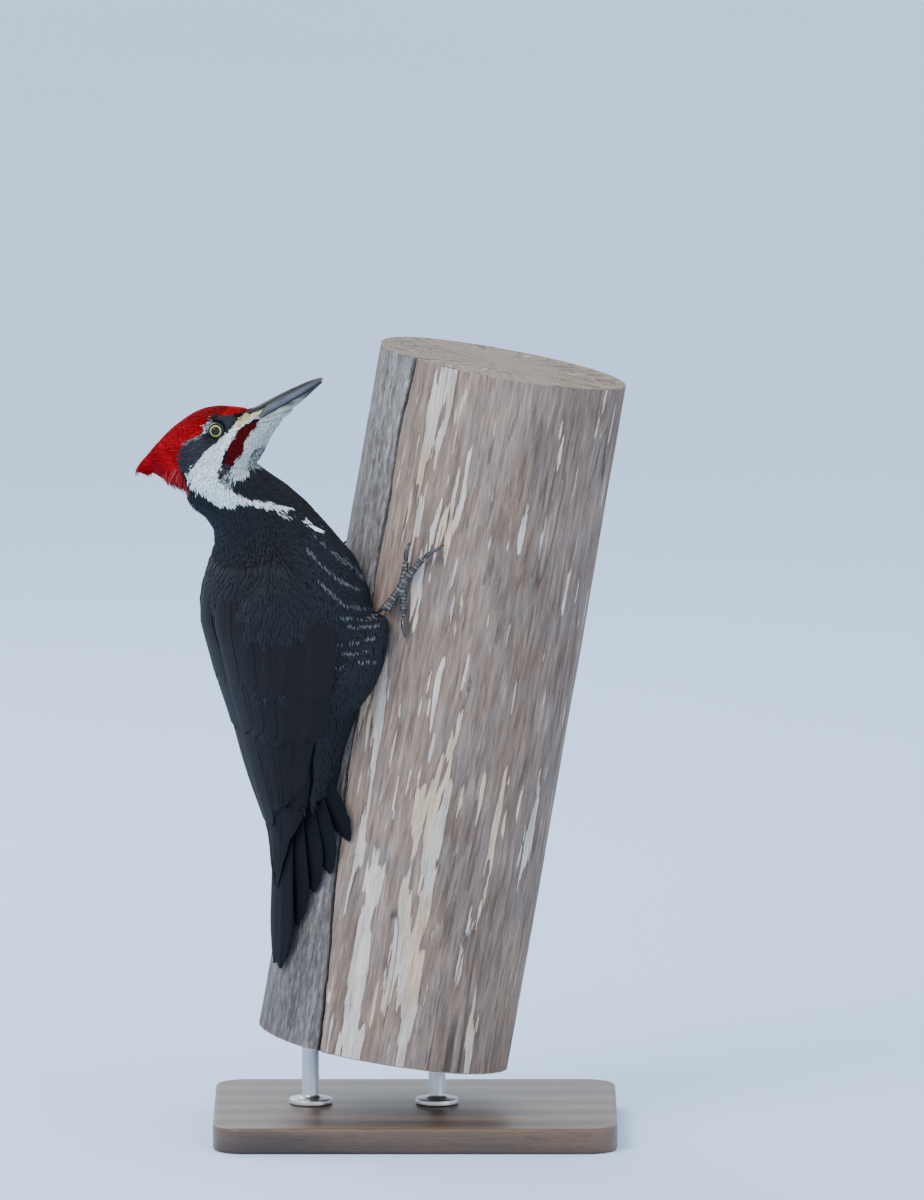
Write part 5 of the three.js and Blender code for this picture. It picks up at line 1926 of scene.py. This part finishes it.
# ------------------------------------------------------------------------------------ legs and claws
@dataclass
class Legs:
    """Scaled legs and toes, and their arched claws."""

    foot_up: float = 333.0
    foot_off: float = 36.0
    left_drop: float = 24.0
    scute: float = 2.3

    def build(self, finishes: Finishes) -> None:
        """Makes the bare part of each leg, and its claws."""
        for side, sign in (("right", 1), ("left", -1)):
            self._toes(side, sign, finishes)
            self._claws(side, finishes)

    def _toes(self, side: str, sign: int, finishes: Finishes) -> None:
        """Joins shank and toes and raises their scutes."""
        parts = [copy_node(f"{part}_{side}", f"part_{part}") for part in ("tarsus", "foot")]
        piece = join(parts, f"leg_scales_{side}")
        apply_modifier(piece, "REMESH", mode="VOXEL", voxel_size=0.42 * MM)
        apply_modifier(piece, "SMOOTH", factor=0.5, iterations=10)
        soften(piece)
        places = coordinates(piece)
        normals = np.empty(len(places) * 3, np.float32)
        piece.data.vertices.foreach_get("normal", normals)
        normals = normals.reshape(-1, 3).astype(float)
        centre = TRUNK.at(
            self.foot_up - (0 if sign > 0 else self.left_drop), TRUNK.middle + sign * self.foot_off, 4.6
        )
        away = np.linalg.norm(places - centre, axis=1) / MM
        up, turn, _ = TRUNK.coords(places)
        top = smooth(dot(normals, TRUNK.outward(turn)), -0.1, 0.7)
        phase = np.mod(away / self.scute + 0.12 * ripple(places / MM, 6, 2, 1), 1)
        plate = np.abs(np.sin(phase * math.pi)) ** 0.45
        pebbles = ripple(places / MM, 1.6, 9, 2)
        rise = top * 0.3 * (plate - 0.6) + (1 - top) * 0.1 * pebbles
        set_coordinates(piece, TRUNK.keep_off(places + normals * rise[:, None] * MM, 0.1))
        pale, dark = np.array((0.155, 0.15, 0.14)), np.array((0.012, 0.012, 0.013))
        worn = 0.55 + 0.45 * ripple(places / MM, 5.0, 12)
        colour = blend(dark, pale, (smooth(plate, 0.55, 0.98) * (0.25 + 0.75 * top) * worn)[:, None])
        paint(piece, colour * (1 + 0.25 * pebbles[:, None]))
        hand_over(piece, finishes.scales, "scales", f"tarsus_{side}", f"foot_{side}")

    def _claws(self, side: str, finishes: Finishes) -> None:
        """Smooths the four claws of a foot."""
        names = [f"claw_{toe}_{side}" for toe in ("inner", "middle", "outer", "hind")]
        parts = [copy_node(node, f"part_{node}") for node in names]
        for part in parts:
            apply_modifier(part, "SUBSURF", levels=2, render_levels=2)
        piece = join(parts, f"claws_{side}")
        soften(piece)
        places = coordinates(piece)
        off = TRUNK.coords(places)[2]
        colour = blend(np.array((0.008, 0.008, 0.01)), np.array((0.026, 0.026, 0.032)), smooth(off, 3.0, 6.5)[:, None])
        paint(piece, colour)
        hand_over(piece, finishes.claw, "claw", *names)


# ------------------------------------------------------------------------------------ perch and stand
@dataclass
class Perch:
    """The bare trunk, with its long drying crack and torn grain."""

    rings: int = 400
    sides: int = 210
    cap: int = 10
    swell: tuple[float, float] = (13.0, 9.5)  # how far the side away from the bird stands out, at foot and top
    crack_turn: float = 44.7
    crack_drift: tuple[float, float, float] = (14.4, 330.0, 285.0)  # degrees, below what height, over how far
    crack_half: float = 1.9
    crack_depth: float = 8.0

    def build(self, finishes: Finishes) -> None:
        """Makes the trunk as one piece."""
        share_cap = self.cap / self.rings
        drift, bend, over = self.crack_drift
        fine = np.linspace(-math.pi, math.pi, 4001)
        density = 1 + 9 * np.exp(-((fine / 0.07) ** 2))
        warp = np.cumsum(density) / density.sum() * 2 * math.pi - math.pi
        shades: list[Array] = []

        def form(along: Array, around: Array) -> Array:
            """Gives places: the lower end, the side, then the upper end."""
            angle = np.interp(around - math.pi, warp, fine)
            side = np.clip((along - share_cap) / (1 - 2 * share_cap), 0, 1)
            up = side * TRUNK.length
            low, high = np.clip(along / share_cap, 0, 1), np.clip((1 - along) / share_cap, 0, 1)
            inset = np.minimum(low, high)
            crack = np.radians(self.crack_turn + drift * np.maximum(0, (bend - up) / over) ** 1.3)
            turn = angle + crack
            out = np.stack([np.cos(turn) * 60, np.sin(turn) * 60, up], axis=1)
            round_x, round_y = -np.cos(turn), np.sin(turn)
            theta = np.arctan2(-round_y, round_x)
            flute = 0.9 * (1 - 0.5 * np.sin(3 * theta + 0.6) - 0.5 * np.sin(5 * theta + up / 170))
            long = out * np.array([1, 1, 0.09])
            relief = 0.32 * ripple(long, 16, 31) + 0.2 * ripple(out * np.array([1, 1, 0.05]), 5.5, 32)
            wander = 1.5 * ripple(np.stack([up, up * 0], 1), 240, 33) + 0.35 * ripple(np.stack([up, up * 0], 1), 30, 34)
            offset = (angle * TRUNK.radius - wander)
            half = self.crack_half * (0.75 + 0.25 * ripple(np.stack([up, up * 0], 1), 120, 35))
            crack_cut = np.maximum(0, 1 - np.abs(offset) / np.maximum(half, 0.5)) ** 0.7
            swell = blend(*self.swell, up / TRUNK.length) * np.maximum(0, -np.cos(turn)) ** 2
            radius = TRUNK.radius + swell - flute - 0.35 + relief - crack_cut * self.crack_depth
            radius = radius * np.where(inset < 1, inset * 0.985, 1)
            check = 0.8 * np.abs(ripple(np.stack([np.cos(turn), np.sin(turn)], 1) * 9, 2.4, 36))
            ends = np.where(inset < 1, 0.25 + check * smooth(inset, 0.05, 0.9), 0)
            up = up + np.where(along < 0.5, ends, -ends)
            strip = smooth(-offset, 0, 1.6) * smooth(turn, -0.95, -0.6)
            zone = np.maximum(0, 1 - np.abs(-np.cos(turn) * TRUNK.radius + up * 0.06 + 12) / 52)
            # Painted shade: the first channel darkens the crack's walls and floor to as little as a twenty-fifth. The
            # second marks the rough strip and the third the zone of pale flakes.
            shades.append(np.stack([np.clip(1 - 1.25 * crack_cut, 0.04, 1), strip, zone * (np.sin(turn) > 0)], axis=1))
            base = np.array(TRUNK.foot) + TRUNK.axis * up[:, None]
            arm = TRUNK.outward(np.degrees(turn)) * radius[:, None]
            return (base + arm) * MM

        deselect()
        piece = wrapped("trunk_wood", form, self.rings, self.sides)
        if len(shades[0]) == len(piece.data.vertices):
            paint(piece, shades[0])
        soften(piece, 50)
        hand_over(piece, finishes.wood, "bare_wood", "perch_trunk")


@dataclass
class Stand:
    """The plain base and the two steel rods that carry the trunk."""

    length: float = 280.0
    depth: float = 210.0
    height: float = 18.0
    corner: float = 22.0
    rod_radius: float = 6.0
    flange: float = 15.0
    socket: float = 22.0
    spread: float = 44.0

    def build(self, finishes: Finishes) -> None:
        """Makes the base and both rods."""
        self._base(finishes)
        for side, sign in (("left", -1), ("right", 1)):
            self._rod(side, TRUNK.foot[0] + sign * self.spread, finishes)

    def _base(self, finishes: Finishes) -> None:
        """Shapes the base: rounded corners, then softened edges."""
        deselect()
        bpy.ops.mesh.primitive_cube_add(size=1, location=(0, 0, self.height / 2 * MM))
        piece = rename(bpy.context.object, "stand_plinth")
        piece.scale = (self.length * MM, self.depth * MM, self.height * MM)
        apply_place(piece)
        bpy.ops.object.mode_set(mode="EDIT")
        bpy.ops.mesh.select_mode(type="EDGE")
        bpy.ops.mesh.select_all(action="DESELECT")
        bpy.ops.object.mode_set(mode="OBJECT")
        for edge in piece.data.edges:
            a, b = (piece.data.vertices[v].co for v in edge.vertices)
            edge.select = abs(a.z - b.z) > 1e-4
        bpy.ops.object.mode_set(mode="EDIT")
        bpy.ops.mesh.bevel(offset=self.corner * MM, segments=12)
        bpy.ops.object.mode_set(mode="OBJECT")
        clean(piece)
        apply_modifier(piece, "BEVEL", width=2.4 * MM, segments=5, limit_method="ANGLE", angle_limit=math.radians(60))
        clean(piece)
        soften(piece, 35)
        hand_over(piece, finishes.plinth, "plinth", "stand_base")

    def _rod(self, side: str, x: float, finishes: Finishes) -> None:
        """Turns a rod with its flange, up into the trunk's end."""
        top = TRUNK.foot[2] - (x - TRUNK.foot[0]) * math.tan(TRUNK.lean) + self.socket
        z = self.height + 0.35
        r = self.rod_radius
        profile = [
            (0.0, z), (self.flange - 0.6, z), (self.flange, z + 0.6), (self.flange, z + 3.2),
            (self.flange - 0.4, z + 3.8), (self.flange - 1.0, z + 4.0), (r + 2.6, z + 4.1), (r + 1.2, z + 4.7),
            (r + 0.3, z + 5.8), (r, z + 7.2), (r, top - 0.8), (r - 0.8, top), (0.0, top),
        ]
        mesh = bpy.data.meshes.new(f"stand_steel_{side}")
        mesh.from_pydata([((x + a) * MM, 0, b * MM) for a, b in profile], [(k, k + 1) for k in range(len(profile) - 1)], [])
        piece = bpy.data.objects.new(mesh.name, mesh)
        bpy.context.scene.collection.objects.link(piece)
        pick(piece)
        bpy.ops.object.mode_set(mode="EDIT")
        bpy.ops.mesh.select_all(action="SELECT")
        bpy.ops.mesh.spin(steps=48, angle=2 * math.pi, center=(x * MM, 0, 0), axis=(0, 0, 1))
        bpy.ops.object.mode_set(mode="OBJECT")
        clean(piece, 1e-6)
        soften(piece, 40)
        hand_over(piece, finishes.steel, "rod", f"stand_rod_{side}")


# ------------------------------------------------------------------------------------ the studio
@dataclass(frozen=True)
class Studio:
    """The floor, the soft light and the camera."""

    aim: tuple[float, float, float] = (32.4, -60.0, 380.5)
    distance: float = 12.0
    down: float = math.radians(8)
    lens: float = 521.7

    def camera(self) -> None:
        """Places the camera, level along +Y and a little down."""
        data = bpy.data.cameras.new("camera")
        data.lens = self.lens
        data.sensor_width = 36.0
        data.clip_end = 200.0
        camera = bpy.data.objects.new("camera", data)
        bpy.context.scene.collection.objects.link(camera)
        back = Vector((0, -math.cos(self.down), math.sin(self.down)))
        camera.location = Vector(self.aim) * MM + back * self.distance
        camera.rotation_euler = (math.pi / 2 - self.down, 0, 0)
        bpy.context.scene.camera = camera

    def floor(self) -> None:
        """Lays the floor."""
        deselect()
        bpy.ops.mesh.primitive_plane_add(size=220)
        floor = rename(bpy.context.object, "floor")
        floor.data.materials.append(FloorFinish().make())

    def _area(self, name: str, at: tuple[float, float, float], size: float, power: float, colour: Colour) -> None:
        """Hangs one soft light that faces the bird."""
        data = bpy.data.lights.new(name, "AREA")
        data.shape = "DISK"
        data.size = size
        data.energy = power
        data.color = colour
        light = bpy.data.objects.new(name, data)
        bpy.context.scene.collection.objects.link(light)
        light.location = at
        way = Vector((-0.03, -0.02, 0.33)) - Vector(at)
        light.rotation_euler = way.to_track_quat("-Z", "Y").to_euler()

    def light(self) -> None:
        """Sets the lights and the even pale surroundings."""
        world = bpy.data.worlds.new("surroundings")
        world.use_nodes = True
        background = world.node_tree.nodes["Background"]
        background.inputs["Color"].default_value = (0.82, 0.905, 1.0, 1)
        background.inputs["Strength"].default_value = 1.55
        bpy.context.scene.world = world
        self._area("key", (-1.5, -1.9, 2.4), 1.6, 70, (1.0, 0.985, 0.96))
        self._area("fill", (2.2, -2.0, 1.1), 2.0, 20, (0.9, 0.95, 1.0))
        self._area("rim", (-1.0, 1.9, 1.8), 1.4, 30, (0.9, 0.95, 1.0))

    def build(self) -> None:
        """Sets the whole studio."""
        self.camera()
        self.floor()
        self.light()


def main() -> None:
    """Builds everything in order."""
    logging.basicConfig(level=logging.INFO, format="%(name)s %(message)s")
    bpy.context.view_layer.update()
    Studio().build()
    finishes = Finishes()
    plumage = Plumage()
    LOG.info("form: %d faces", len(plumage.faces))
    Skin().build(plumage, finishes)
    feathers = Feathers(plumage, finishes)
    feathers.build()
    for side in (1, -1):
        Wing(side).build(finishes)
    Tail().build(finishes)
    bill = Bill()
    bill.build(finishes)
    bill.bristles(feathers.coat, finishes)
    Eyes().build(finishes)
    Legs().build(finishes)
    Perch().build(finishes)
    Stand().build(finishes)
    bpy.data.objects.remove(plumage.piece)


if __name__ == "__main__":
    main()
